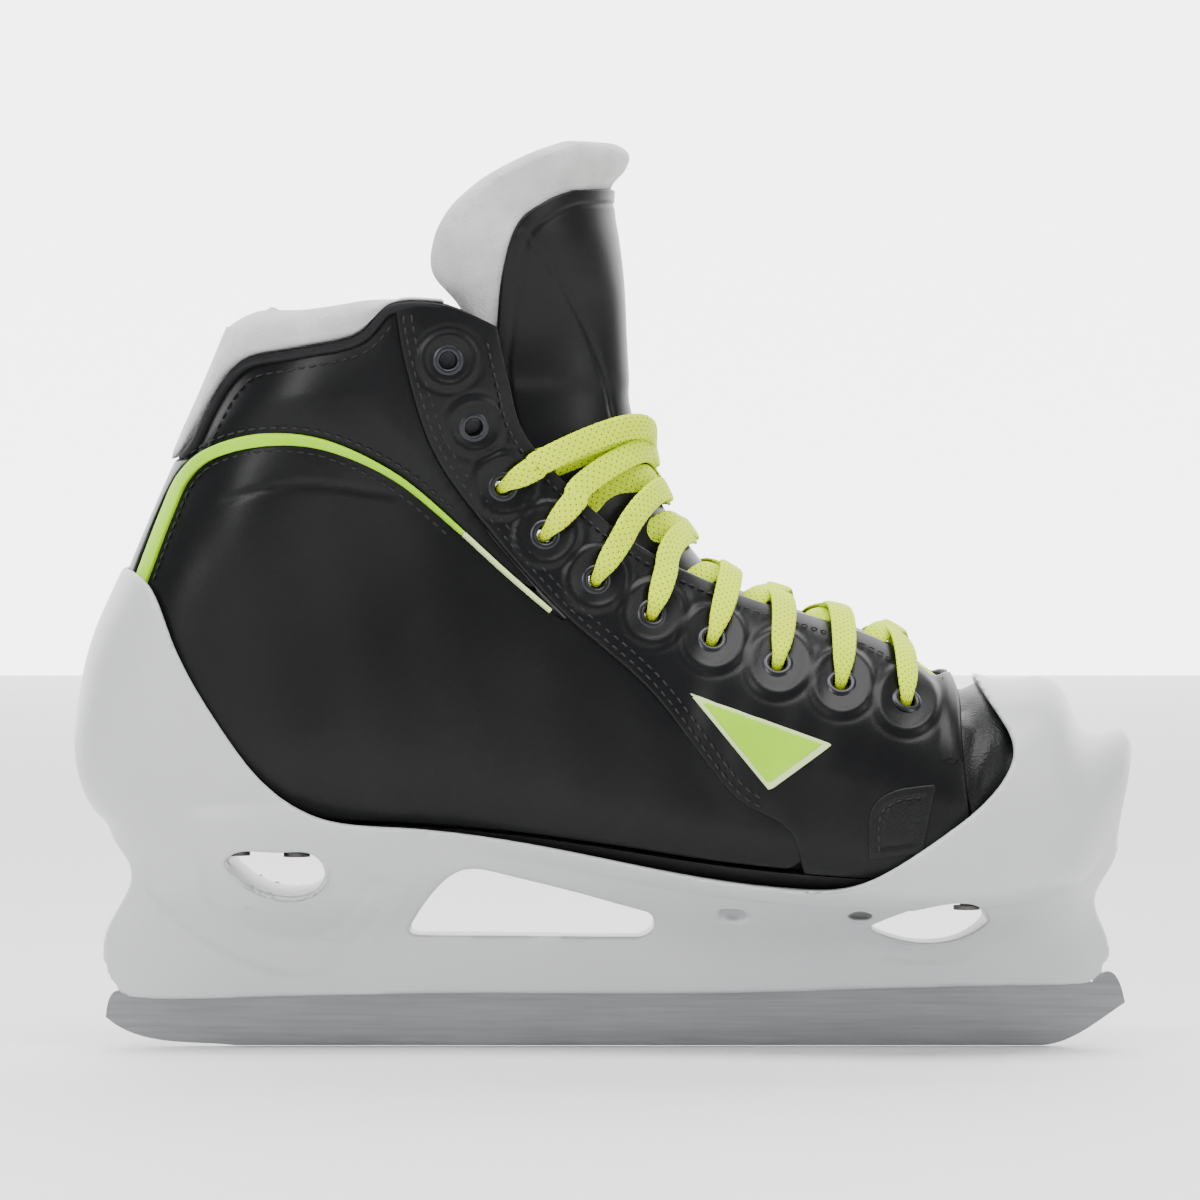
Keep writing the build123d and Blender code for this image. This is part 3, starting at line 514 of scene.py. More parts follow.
holes = [(x, z, 3.0) for x, z in EYELETS]
facing_edge, quarter_edge, collar_edge = facing_outline(), quarter_outline(), collar_outline()
toe_edge = np.array([(103.0, 125), (103.0, 100), (112.5, 54.3), (175, 60), (175, 125)], float)
backstay_side = curve([(-148, 122), (-142, 139), (-133.6, 161), (-128, 172), (-123, 177.5)], 40)
backstay_edge = joined([(-175, 122), (-148, 122)], backstay_side, [(-175, 177.5)])
patch_edge = joined(curve(TOE_PATCH[:4], 60), [TOE_PATCH[4]])
lining_edge = np.array([(-175, 67), (-175, 190), (-45, 190), (-36, 168), (-18, 148), (0, 134), (22, 122),
                        (50, 113), (80, 107), (92, 104), (138, 92), (141, 60), (65, 59), (0, 67), (-75, 73)],
                       float)
CUFF_LINING = np.array([(-58, 221), (-34, 215.5), (-30, 200), (-24.5, 184), (-30, 174), (-50, 174)], float)
stripe_line = curve(STRIPE_LINE, 120)
stripe_width = 3.7 * np.clip(0.35 + 0.65 * np.linspace(1, 0, 120) * 2.2, 0, 1)
piping_line = curve(PIPING_LINE, 30)

for label, side in SIDES:
    add(panel(f"Quarter_{label}", quarter_edge, side, -0.7, -3.6, 0.8, 0.7, 20, quarter_arc),
        "leather", "boot_leather", [f"quarter_{label}"])
    add(panel(f"Collar_{label}", collar_edge, side, -1.6, -3.6, 1.2, 2.3, 11, collar_relief),
        "leather", "boot_leather", [f"collar_{label}"])
    add(panel(f"Facing_{label}", facing_edge, side, 0.35, -0.6, 0.8, 0.5, 8, facing_relief, 1, holes),
        "leather", "boot_leather", [f"facing_{label}"])
    add(panel(f"Facing_backing_{label}", facing_edge, side, -0.75, -3.4, 0.4, 0, 8, None, 0, holes),
        "lining", "lining_fabric")
    add(panel(f"Cuff_lining_{label}", CUFF_LINING, side, -3.7, -4.9, 0.4, 0, 8), "lining", "lining_fabric")
    stripe_edge = closed_lane(stripe_line, stripe_width)
    add(panel(f"Stripe_{label}", stripe_edge, side, 1.0, -0.9, 0.6, 0.2, 2, None, 2),
        "green", "trim_green", [f"stripe_{label}"])
    add(panel(f"Piping_{label}", closed_lane(piping_line, 1.3), side, 0.9, -0.9, 0.4, 0, 2, None, 2),
        "pale_green", "trim_green")
    add(panel(f"Emblem_edge_{label}", np.array(EMBLEM, float), side, 1.3, 0.2, 0.3, 0, 2, None, 1),
        "pale_green", "trim_green", [f"emblem_{label}"])
    middle = np.mean(EMBLEM, 0)
    inner_triangle = middle + (np.array(EMBLEM) - middle) * 0.84
    add(panel(f"Emblem_{label}", inner_triangle, side, 1.6, 1.1, 0.3, 0, 2, None, 1), "green", "trim_green")
    add(panel(f"Toe_patch_{label}", patch_edge, side, 1.5, 0.2, 0.5, 0.3, 5,
              lambda p, d: -0.5 * np.exp(-(((d - 3.4) / 0.7) ** 2)), 1),
        "toe_leather", "toe_leather", [f"toe_patch_{label}"])
    add(panel(f"Lining_{label}", lining_edge, side, -5.9, -8.6, 1.2, 0, 5), "lining", "lining_fabric",
        [f"lining_{label}"])
add(panel("Toe_leather", toe_edge, None, -0.9, -3.6, 0.7, 0.5, 8, toe_wrinkles, 0, grid=(260, 240)),
    "toe_leather", "toe_leather", ["vamp"])
add(panel("Backstay", backstay_edge, "back", 0.9, -0.5, 0.8, 0.4, 5, None, 1, grid=(240, 60)),
    "leather", "boot_leather", ["backstay"])


# ---- edges bound along the throat and the collar -----------------------------------------------------


def ribbon(line, side, offset, width, thick, segments=14):
    """A strip that lies along a side line on the boot."""
    places = find(line[:, 0], line[:, 1], side)
    path = form(places[:, 0], places[:, 1], offset)
    along = np.gradient(path, axis=0)
    across = np.cross(form_normal(places[:, 0], places[:, 1], 0.0), along)
    return sweep(path, across, width, thick, segments)


for label, side in SIDES:
    throat = shifted(curve(THROAT, 110), -0.9)
    ends = np.clip(np.minimum(np.arange(110), 109 - np.arange(110)) / 3.0, 0.35, 1)
    add(merged(f"Throat_binding_{label}", [ribbon(throat, side, -1.3, 2.6 * ends, 4.2 * ends)]),
        "binding", "boot_leather")
    top = shifted(curve(COLLAR_TOP, 110), -1.4)
    ends = np.clip((109 - np.arange(110)) / 3.0, 0.4, 1)
    add(merged(f"Collar_binding_{label}", [ribbon(top, side, -1.5, 3.4 * ends, 4.6 * ends)]),
        "binding", "boot_leather", [f"collar_binding_{label}"])


# ---- stitches ---------------------------------------------------------------------------------------


def stitch_row(line, side, offset, pitch=3.3, length=2.3, size=0.62):
    """Thread stitches, sunk at both ends, along a side line."""
    steps = run_along(line)
    count = int(steps[-1] / pitch)
    pieces = []
    if count < 1:
        return pieces
    at = (np.arange(count) + 0.5) * pitch
    ends = np.stack([at - length / 2, at, at + length / 2], 1).ravel()
    x, z = np.interp(ends, steps, line[:, 0]), np.interp(ends, steps, line[:, 1])
    places = find(x, z, side)
    heights = offset + np.tile([-0.35, 0.08, -0.35], count)
    points = form(places[:, 0], places[:, 1], heights).reshape(count, 3, 3)
    normals = form_normal(places[:, 0], places[:, 1]).reshape(count, 3, 3)
    for p, n in zip(points, normals):
        path = spline_rows(p, np.linspace(0, 2, 5))
        along = np.gradient(path, axis=0)
        across = np.cross(n[1][None], along)
        pieces.append(sweep(path, across, [0.25, size, size, size, 0.25], [0.2, 0.42, 0.42, 0.42, 0.2], 6))
    return pieces


def trimmed(line, start=0, end=0):
    """A line with its ends cut back and its points spaced evenly."""
    steps = run_along(line)
    at = np.linspace(start, steps[-1] - end, len(line))
    return np.stack([np.interp(at, steps, line[:, 0]), np.interp(at, steps, line[:, 1])], 1)


for label, side in SIDES:
    seam = SEAM[SEAM[:, 1] > 72]
    rows = stitch_row(trimmed(shifted(seam, 2.2), 3, 0), side, 1.1)
    rows += stitch_row(trimmed(shifted(seam, 4.6), 3, 0), side, 1.35)
    rows += stitch_row(trimmed(shifted(THROAT_LINE, -4.2), 4, 4), side, 1.75, 3.0, 2.0)
    rows += stitch_row(trimmed(shifted(TOP_LINE, -5.6), 8, 30), side, -0.35)
    rows += stitch_row(trimmed(shifted(stripe_line, 3.4), 3, 3), side, -0.35)
    rows += stitch_row(trimmed(shifted(stripe_line, -3.4), 3, 3), side, -0.3)
    rows += stitch_row(trimmed(shifted(curve(TOE_PATCH[:4], 80), -3.2), 2, 2), side, 1.5, 2.8, 1.9)
    rows += stitch_row(np.array([(101.3, 112), (102.5, 104), (103.0, 92)], float), side, 1.4, 2.8, 1.9)
    add(merged(f"Stitching_{label}", rows), "thread", "boot_leather")

# ---- collar felt --------------------------------------------------------------------------------------


# the felt's section: height above the collar's edge and distance out from the boot's form
FELT_SECTION = np.array([(-20, -4.4), (-8, -4.2), (-1.5, -3.6), (1.2, -0.2), (3.4, 3.6), (7.5, 5.4),
                         (11.4, 4.4), (13.4, -0.6), (13.0, -6.0), (9, -9.4), (0, -11.0), (-12, -10.6),
                         (-20, -8.6)], float)
FELT_HEIGHT = 13.2
FELT_OUTSIDE = -3.6


def felt_roll():
    """Thick felt inside the cuff that stands above its edge and bulges over it, front to back to front. It
    shows down to the foot of the notch at the back."""
    edge = trimmed(curve(COLLAR_TOP[:-1], 160))
    outer, inner = find(edge[:, 0], edge[:, 1], OUTER), find(edge[:, 0], edge[:, 1], INNER)
    outer[:, 1] = np.minimum.accumulate(outer[:, 1] - 0.0001 * np.arange(160))
    inner[:, 1] = 4.0 + np.maximum.accumulate(inner[:, 1] + 0.0001 * np.arange(160))
    edge = np.vstack([outer[::-1], inner])
    q = np.linspace(edge[0, 1], edge[-1, 1], 260)
    low = np.interp(q, edge[:, 1], edge[:, 0])
    levels = np.linspace(15.0, LAST, 600)
    high = []
    for turn in q:
        p = form(levels, turn)
        high.append(levels[np.argmax(p[:, 2] > np.interp(p[:, 0], *np.array(FELT_TOP).T))])
    high = np.array(high)
    for _ in range(12):
        low[1:-1] = 0.25 * low[:-2] + 0.5 * low[1:-1] + 0.25 * low[2:]
        high[1:-1] = 0.25 * high[:-2] + 0.5 * high[1:-1] + 0.25 * high[2:]
    high = np.maximum(high, low + 0.08)
    rises = np.linalg.norm(form(high, q) - form(low, q), axis=1)
    tall, out_from = FELT_SECTION.T
    rounds = 52
    rows = []
    for start, turn, h, step in zip(low, q, rises, rises / (high - low)):
        part = min(h / FELT_HEIGHT, 1.0)
        heights = np.where(tall > 0, tall * part, tall)
        heights += np.where(tall > 5, max(h - FELT_HEIGHT, 0.0), 0.0)
        bulge = FELT_OUTSIDE + (out_from - FELT_OUTSIDE) * (0.3 + 0.7 * part)
        out = np.where(out_from > FELT_OUTSIDE, bulge, out_from)
        loop = ring(np.stack([heights, out], 1), rounds)
        rows.append(form(start + loop[:, 0] / step, turn, loop[:, 1]))
    points = np.array(rows)
    n = len(points)
    ramp = np.clip(np.minimum(np.arange(n), n - 1 - np.arange(n)) / 4.0, 0, 1)
    shrink = np.sqrt(np.clip(1 - (1 - ramp) ** 2, 0.02, 1))[:, None, None]
    centre = points.mean(1, keepdims=True)
    points = centre + (points - centre) * shrink
    return make("Collar_felt", points.reshape(-1, 3), tube_faces(n, rounds))


add(felt_roll(), "felt", "white_felt", ["collar_felt"])

# ---- tongue -------------------------------------------------------------------------------------------
TONGUE_EDGE = [(-31, 186.5), (-27, 168), (-11, 152), (4, 140), (24, 129), (52, 121), (80, 115.5), (100, 107)]
# height, front, depth and half width of the level sections, then where the tongue's side edge lies
TONGUE_LEVELS = [
    (192.0, 6.6, 44.0, 23.5, -28.5),
    (203.0, 6.0, 45.0, 24.0, -33.5),
    (214.0, 5.4, 46.0, 25.0, -37.5),
    (224.0, 5.0, 48.0, 28.0, -43.5),
    (233.0, 4.4, 49.0, 32.5, -51.0),
    (243.0, 3.2, 49.0, 36.5, -50.5),
    (252.0, 1.9, 49.0, 38.0, -45.5),
    (259.5, 2.6, 50.0, 38.8, -37.0),
    (264.5, 6.6, 53.0, 39.8, -28.5),
    (269.0, 8.2, 54.0, 40.0, -18.5),
    (272.6, 7.2, 54.0, 39.8, -7.0),
]
ACROSS = np.linspace(-1, 1, 61)


def tongue_rows():
    region = joined(curve(TONGUE_EDGE, 120), [(120, 130), (60, 220), (-31, 220)])
    rows = []
    for u in (4.15, 4.6, 5.2, 6.0, 7.0, 8.0, 8.8):
        halves = []
        for side in (OUTER, INNER):
            q = 2.0 - side * np.linspace(0, 1, 400)
            p = form(u, q, -7.0)
            inside = inside_distance(p[:, 0], p[:, 2], region) > 0
            last = q[inside][-1] if inside.any() else 2.0 - side * 0.02
            halves.append(last)
        q = np.where(ACROSS < 0, 2.0 + (halves[0] - 2.0) * -ACROSS, 2.0 + (halves[1] - 2.0) * ACROSS)
        rows.append(form(u, q, -6.9 + 2.6 * (1 - ACROSS**2)))
    for z, front, depth, half, edge in TONGUE_LEVELS:
        centre = front - depth
        reach = math.acos(np.clip((edge - centre) / depth, -1, 1))
        a = reach * ACROSS
        rows.append(np.stack([centre + depth * np.cos(a), half * np.sin(a), np.full(len(a), z)], 1))
    return np.array(rows)


TONGUE = tongue_rows()


def tongue_point(v, w):
    grid_v = np.clip(v, 0, len(TONGUE) - 1 - 1e-9)
    columns = (np.clip(w, -1, 1) + 1) * (len(ACROSS) - 1) / 2
    low = np.minimum(columns.astype(int), len(ACROSS) - 2)
    share = (columns - low)[..., None]
    k = grid_v.astype(int)
    t = (grid_v - k)[..., None]
    rows = [np.maximum(k - 1, 0), k, np.minimum(k + 1, len(TONGUE) - 1), np.minimum(k + 2, len(TONGUE) - 1)]
    return between(*[TONGUE[r, low] * (1 - share) + TONGUE[r, low + 1] * share for r in rows], t)


def tongue_surface(v, w, offset=0.0):
    v, w, offset = np.broadcast_arrays(np.asarray(v, float), np.asarray(w, float), np.asarray(offset, float))
    e = 0.06
    point = tongue_point(v, w)
    dv = tongue_point(np.minimum(v + e, len(TONGUE) - 1), w) - tongue_point(np.maximum(v - e, 0), w)
    dw = tongue_point(v, np.minimum(w + e, 1)) - tongue_point(v, np.maximum(w - e, -1))
    n = np.cross(dw, dv)
    n[..., 2] *= 1.0 - np.clip((point[..., 2] - 180.0) / 20.0, 0, 1)
    n /= np.linalg.norm(n, axis=-1, keepdims=True) + 1e-12
    return point + n * offset[..., None]


def tongue_felt():
    """The felt body of the tongue in one piece, thick and round at its edges, with a rolled lip."""
    rows, columns = 200, 120
    v = np.linspace(0, len(TONGUE) - 1, rows + 1)
    w = np.linspace(-1, 1, columns + 1)
    vv, ww = np.meshgrid(v, w, indexing="ij")
    p = tongue_point(vv, ww)
    run = np.apply_along_axis(np.cumsum, 1, np.linalg.norm(np.diff(p, axis=1, prepend=p[:, :1]), axis=2))
    climb = np.apply_along_axis(np.cumsum, 0, np.linalg.norm(np.diff(p, axis=0, prepend=p[:1]), axis=2))
    d = np.minimum(np.minimum(run, run[:, -1:] - run), climb[-1:] - climb)
    upper = np.clip((p[..., 2] - 188) / 30, 0, 1)
    thick = 4.6 + 3.6 * upper + 2.6 * np.clip((p[..., 2] - 255) / 10, 0, 1)
    half = thick / 2
    t = np.clip(1 - d / half, 0, 1)
    taper = np.sqrt(np.clip(1 - t * t, 0.0, 1))
    high, low = -half + half * taper, -half - half * taper
    top, bottom = tongue_surface(vv, ww, high).reshape(-1, 3), tongue_surface(vv, ww, low).reshape(-1, 3)
    _, tris = base_grid((0, 1), (0, 1), rows, columns)
    out = tongue_surface(vv, ww, 1.0) - tongue_surface(vv, ww, 0.0)
    return solid("Tongue_felt", top, bottom, turned_outward(top, tris, out.reshape(-1, 3)))


TONGUE_LEATHER = joined(
    curve([(102, 106), (80, 114), (52, 119), (24, 127), (4, 137.5), (-11, 149.5), (-24, 166), (-29.5, 183),
           (-33, 202), (-31.8, 217), (-30, 233.3), (-25.5, 247.6), (-17, 254.5), (-9.2, 257.8)], 160),
    [(0.5, 258.6), (40, 258.6), (40, 200), (120, 140)])
TONGUE_SEAM = [(-24.7, 245), (-15.8, 234), (-8, 220.5), (-1.5, 204.4), (1.8, 188.8)]


def tongue_relief(p, d):
    """The slanted seam on the tongue and the stitched groove inside its edge."""
    near = line_distance(p, curve(TONGUE_SEAM, 60))
    return -0.55 * np.exp(-((near / 0.8) ** 2)) - 0.45 * np.exp(-(((d - 4.5) / 0.7) ** 2))


add(tongue_felt(), "felt", "white_felt", ["tongue_felt_lower", "tongue_felt_upper"], "tongue", True)
add(panel("Tongue_leather", TONGUE_LEATHER, (-1.0, 1.0), 1.5, 0.1, 0.7, 0.4, 6, tongue_relief, 0,
          surface=tongue_surface, u_range=(0.05, len(TONGUE) - 3.0), grid=(220, 130)),
    "leather", "boot_leather", ["tongue_face_lower", "tongue_face_upper"], "tongue", True)

# ---- lace and eyelets -----------------------------------------------------------------------------------


LACE_WIDTH = 7.7
LACE_THICK = 1.8
LACE_SEGMENTS = 18


def ridge(x, z):
    """The station number where a point lies on the boot's front line."""
    u = np.linspace(3, LAST, 3000)
    p = form(u, 2.0)
    return u[np.argmin((p[:, 0] - x) ** 2 + (p[:, 2] - z) ** 2)]


def strand(knots):
    """A run of lace through (u, q, offset, width, thickness) knots."""
    rows = np.array(knots, float)
    at = np.linspace(0, len(rows) - 1, 90)
    u, q, offset, width, thick = spline_rows(rows, at).T
    path = form(u, q, offset)
    flat = form(u, q, np.full(len(u), 1.0))
    for _ in range(3):
        path[1:-1] = 0.25 * path[:-2] + 0.5 * path[1:-1] + 0.25 * path[2:]
    travel = np.gradient(flat, axis=0)
    across = np.cross(form_normal(u, q), travel)
    return sweep(path, across, np.clip(width, 2.6, 8), np.clip(thick, 1.4, 3.4), LACE_SEGMENTS)


def lace():
    """One flat lace criss-crossed up the throat. Each run leaves its eyelet on top of the facing, crosses
    the tongue, goes under the other facing and comes up through the next eyelet."""
    eye = {side: find(*np.array(EYELETS).T, side) for side in (OUTER, INNER)}
    lean = {side: find(*np.array(LACE_SIDE).T, side) for side in (OUTER, INNER)}
    runs = []
    last = len(EYELETS) - 1
    for k in range(FIRST_LACED, last + 1):
        j = k - FIRST_LACED
        ridge_u = ridge(*LACE_RIDGE[j])
        for side in (OUTER, INNER):
            other = -side
            lift = 1.5 if (side == OUTER) == (k % 2 == 0) else 0.0
            e, m = eye[side][k], lean[side][j]
            if j > 3:
                m = e + (np.array([ridge_u, 2.0]) - e) * 0.78
            a = e + (m - e) * 0.2
            b = e + (m - e) * 0.5
            knots = [(*e, -2.0, 3.2, 3.0), (*(e + (m - e) * 0.05), 1.4, 4.2, 2.6), (*a, 3.1, 6.6, 2.0),
                     (*b, 3.0, 7.6, 1.8), (*m, 1.6 + lift, LACE_WIDTH, LACE_THICK),
                     (ridge_u, 2.0, 0.2 + lift, LACE_WIDTH, LACE_THICK)]
            if k == FIRST_LACED:
                f = lean[other][j]
                t = find([-24.0], [181.0], other)[0]
                knots += [(*f, -0.6 + lift * 0.5, LACE_WIDTH, LACE_THICK), (*t, -4.4, 7.4, 1.6),
                          (*(t + (t - f) * 0.6), -4.7, 6.0, 1.5)]
            else:
                f = eye[other][k - 1]
                g = np.array([ridge_u, 2.0])
                near, nearer = g + (f - g) * 0.35, g + (f - g) * 0.62
                knots += [(*near, -1.2 + lift * 0.5, LACE_WIDTH, LACE_THICK), (*nearer, -4.5, 7.4, 1.6),
                          (*(g + (f - g) * 0.9), -4.7, 5.5, 1.8), (*f, -2.6, 3.0, 2.6)]
            runs.append(strand(knots))
    e, f = eye[OUTER][last], eye[INNER][last]
    g = np.array([ridge(97.0, 116.0), 2.0])
    halves = [[(*end, -2.6, 3.0, 2.6), (*(end + (g - end) * 0.15), -4.6, 5.5, 1.8),
               (*(end + (g - end) * 0.5), -4.6, 7.4, 1.6)] for end in (e, f)]
    runs.append(strand([*halves[0], (*g, -3.2, 7.6, 1.7), *halves[1][::-1]]))
    length = sum(run_along(p.reshape(-1, LACE_SEGMENTS, 3).mean(1))[-1] for p, _, _ in runs)
    print(f"lace length {length:.0f} mm")
    return merged("Lace", runs)


# an eyelet's section: height above the facing and radius
RING = [(-4.6, 2.5), (0.6, 2.5), (1.2, 2.8), (1.45, 3.4), (1.3, 4.2), (0.85, 4.75), (0.45, 4.7), (0.4, 3.4),
        (-4.4, 3.2)]


def eyelet_rings(name, side):
    points, faces, count = [], [], 28
    start = 0
    for u, q in find(*np.array(EYELETS).T, side):
        centre, n = form(u, q), form_normal(u, q)
        n = n / np.linalg.norm(n)
        a = np.cross(n, [0, 0, 1.0])
        a /= np.linalg.norm(a)
        b = np.cross(n, a)
        turn = np.linspace(0, 2 * math.pi, count, endpoint=False)
        spoke = np.cos(turn)[:, None] * a + np.sin(turn)[:, None] * b
        for h, r in RING:
            points.append(centre + n * (h - 0.15) + spoke * r)
        m = len(RING)
        for i in range(m):
            for j in range(count):
                k, l = (j + 1) % count, (i + 1) % m
                corners = (i * count + j, i * count + k, l * count + k, l * count + j)
                faces.append(tuple(start + corner for corner in corners))
        start += m * count
    return make(name, np.vstack(points), faces, sharp=50)


add(lace(), "lace", "lace_yellow", ["lace"])
for label, side in SIDES:
    add(eyelet_rings(f"Eyelets_{label}", side), "eyelet", "eyelet_metal", [f"eyelets_{label}"])

# ---- cowling and steel ------------------------------------------------------------------------------------
STEP_OUTER = [(-137.5, 48), (-126, 37), (-116, 29.8), (-99.8, 23), (-82.8, 23), (-71.3, 33), (-60, 51)]
STEP_INNER = [(-120, 46), (-109, 34.3), (-90.7, 29.8), (-79.3, 34.3), (-65.6, 50.2)]
FRONT_STEP = [(60, 48), (72, 34), (86, 26.5), (106, 26), (120, 33), (130, 46)]


def relaxed(mesh, points, weight, times):
    """Points of a mesh drawn towards their neighbours, by weight."""
    ends = np.zeros(len(mesh.edges) * 2, np.int64)
    mesh.edges.foreach_get("vertices", ends)
    a, b = ends.reshape(-1, 2).T
    count = np.bincount(a, minlength=len(points)) + np.bincount(b, minlength=len(points))
    for _ in range(times):
        total = np.zeros_like(points)
        for k in range(3):
            total[:, k] = np.bincount(a, points[b, k], len(points))
            total[:, k] += np.bincount(b, points[a, k], len(points))
        points = points + 0.5 * weight[:, None] * (total / count[:, None] - points)
    return points


def cowling():
    """The CAD's cowling with softened edges and shallow steps moulded into its sides."""
    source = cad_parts["cowling"]
    obj = placed("Cowling_shell", source.data.copy())
    remesh = obj.modifiers.new("remesh", "REMESH")
    remesh.mode = "VOXEL"
    remesh.voxel_size = 1.05 * MM
    remesh.use_smooth_shade = True
    soften = obj.modifiers.new("soften", "SMOOTH")
    soften.factor = 0.5
    soften.iterations = 7
    fewer = obj.modifiers.new("fewer", "DECIMATE")
    fewer.ratio = 0.6
    graph = bpy.context.evaluated_depsgraph_get()
    bpy.context.view_layer.update()
    final = bpy.data.meshes.new_from_object(obj.evaluated_get(graph))
    obj.modifiers.clear()
    obj.data = final
    co = np.zeros(len(final.vertices) * 3)
    final.vertices.foreach_get("co", co)
    co = co.reshape(-1, 3) / MM
    normal = np.zeros(len(final.vertices) * 3)
    final.vertices.foreach_get("normal", normal)
    normal = normal.reshape(-1, 3)
    outward = np.clip(np.abs(normal[:, 1]) * 1.6 - 0.4, 0, 1) * (np.sign(normal[:, 1]) == np.sign(co[:, 1]))
    push = np.zeros(len(co))
    for steps, depth in ((STEP_OUTER, 1.3), (STEP_INNER, 1.2), (FRONT_STEP, 1.1)):
        line = curve(steps, 80)
        region = joined(line, [(line[-1][0], 75), (line[0][0], 75)])
        d = inside_distance(co[:, 0], co[:, 2], region)
        push -= depth * np.clip(0.5 + d / 1.6, 0, 1) * np.clip((62 - co[:, 2]) / 14, 0, 1)
    co += normal * (push * outward)[:, None]
    co = relaxed(final, co, np.clip((co[:, 0] - 132) / 10, 0, 1) * np.clip((co[:, 2] - 56) / 10, 0, 1), 26)
    final.vertices.foreach_set("co", (co * MM).ravel())
    final.update()
    final.shade_smooth()
    print("cowling faces", len(final.polygons))
    return obj


add(cowling(), "plastic", "cowling_plastic", ["cowling"])

# ---- materials ------------------------------------------------------------------------------------------


ROUGH_NOISE = 0.12


def material(name, colour, rough, metal=0.0, sheen=0.0, grain=(900.0, 0.25, 0.12), colour_noise=0.12,
             noise_scale=40.0, stretch=(1, 1, 1), fine=None, specular=0.5):
    """Colour and roughness that vary softly, under a bumped grain given by its scale, strength and depth."""
    mat = bpy.data.materials.new(name)
    mat.use_nodes = True
    tree = mat.node_tree
    nodes, links = tree.nodes, tree.links
    shader = nodes["Principled BSDF"]
    shader.inputs["Metallic"].default_value = metal
    shader.inputs["Specular IOR Level"].default_value = specular
    shader.inputs["Sheen Weight"].default_value = sheen
    shader.inputs["Sheen Roughness"].default_value = 0.4
    place = nodes.new("ShaderNodeTexCoord")
    scale = nodes.new("ShaderNodeMapping")
    scale.inputs["Scale"].default_value = stretch
    links.new(place.outputs["Object"], scale.inputs["Vector"])
    broad = nodes.new("ShaderNodeTexNoise")
    broad.inputs["Scale"].default_value = noise_scale
    broad.inputs["Detail"].default_value = 4.0
    links.new(scale.outputs["Vector"], broad.inputs["Vector"])
    ramp = nodes.new("ShaderNodeValToRGB")
    ramp.color_ramp.elements[0].position, ramp.color_ramp.elements[1].position = 0.3, 0.7
    ramp.color_ramp.elements[0].color = (*[c * (1 - colour_noise) for c in colour], 1)
    ramp.color_ramp.elements[1].color = (*[min(1, c * (1 + colour_noise)) for c in colour], 1)
    links.new(broad.outputs["Fac"], ramp.inputs["Fac"])
    links.new(ramp.outputs["Color"], shader.inputs["Base Color"])
    wear = nodes.new("ShaderNodeMapRange")
    wear.inputs["To Min"].default_value = rough * (1 - ROUGH_NOISE)
    wear.inputs["To Max"].default_value = min(1, rough * (1 + ROUGH_NOISE))
    links.new(broad.outputs["Fac"], wear.inputs["Value"])
    links.new(wear.outputs["Result"], shader.inputs["Roughness"])
    size, strength, depth = grain
    grains = nodes.new("ShaderNodeTexVoronoi" if fine == "cells" else "ShaderNodeTexNoise")
    grains.inputs["Scale"].default_value = size
    links.new(scale.outputs["Vector"], grains.inputs["Vector"])
    bump = nodes.new("ShaderNodeBump")
    bump.inputs["Strength"].default_value = strength
    bump.inputs["Distance"].default_value = depth * MM
    links.new(grains.outputs["Distance" if fine == "cells" else "Fac"], bump.inputs["Height"])
    links.new(bump.outputs["Normal"], shader.inputs["Normal"])
    return mat


def lace_material():
    """Neon flat weave: ribs along the lace and small dark flecks in rows."""
    mat = material("lace_weave", (0.66, 0.84, 0.0), 0.6, specular=0.12, grain=(1500, 0.4, 0.15),
                   colour_noise=0.08)
    tree = mat.node_tree
    nodes, links = tree.nodes, tree.links
    shader = nodes["Principled BSDF"]
    uv = nodes.new("ShaderNodeUVMap")
    uv.uv_map = "UVMap"
    parts = nodes.new("ShaderNodeSeparateXYZ")
    links.new(uv.outputs["UV"], parts.inputs["Vector"])

    def wave(value, times, phase=0.0):
        scaled = nodes.new("ShaderNodeMath")
        scaled.operation = "MULTIPLY_ADD"
        scaled.inputs[1].default_value, scaled.inputs[2].default_value = times, phase
        links.new(value, scaled.inputs[0])
        sine = nodes.new("ShaderNodeMath")
        sine.operation = "SINE"
        links.new(scaled.outputs[0], sine.inputs[0])
        return sine.outputs[0]

    def both(a, b, how, clamp=False):
        node = nodes.new("ShaderNodeMath")
        node.operation = how
        node.use_clamp = clamp
        for socket, value in ((node.inputs[0], a), (node.inputs[1], b)):
            if isinstance(value, float):
                socket.default_value = value
            else:
                links.new(value, socket)
        return node.outputs[0]

    run, cross = parts.outputs["X"], parts.outputs["Y"]
    rib = both(wave(run, 7.4), wave(cross, 44.0), "MULTIPLY")
    spots = both(wave(run, 2.6), wave(cross, 19.0, 1.2), "MULTIPLY")
    mask = both(both(spots, 0.72, "SUBTRACT"), 9.0, "MULTIPLY", True)
    mix = nodes.new("ShaderNodeMix")
    mix.data_type = "RGBA"
    links.new(mask, mix.inputs["Factor"])
    links.new(nodes["Color Ramp"].outputs["Color"], mix.inputs["A"])
    mix.inputs["B"].default_value = (0.2, 0.26, 0.01, 1)
    links.new(mix.outputs["Result"], shader.inputs["Base Color"])
    ribs = nodes.new("ShaderNodeBump")
    ribs.inputs["Strength"].default_value = 0.55
    ribs.inputs["Distance"].default_value = 0.22 * MM
    links.new(rib, ribs.inputs["Height"])
    links.new(nodes["Bump"].outputs["Normal"], ribs.inputs["Normal"])
    links.new(ribs.outputs["Normal"], shader.inputs["Normal"])
    return mat


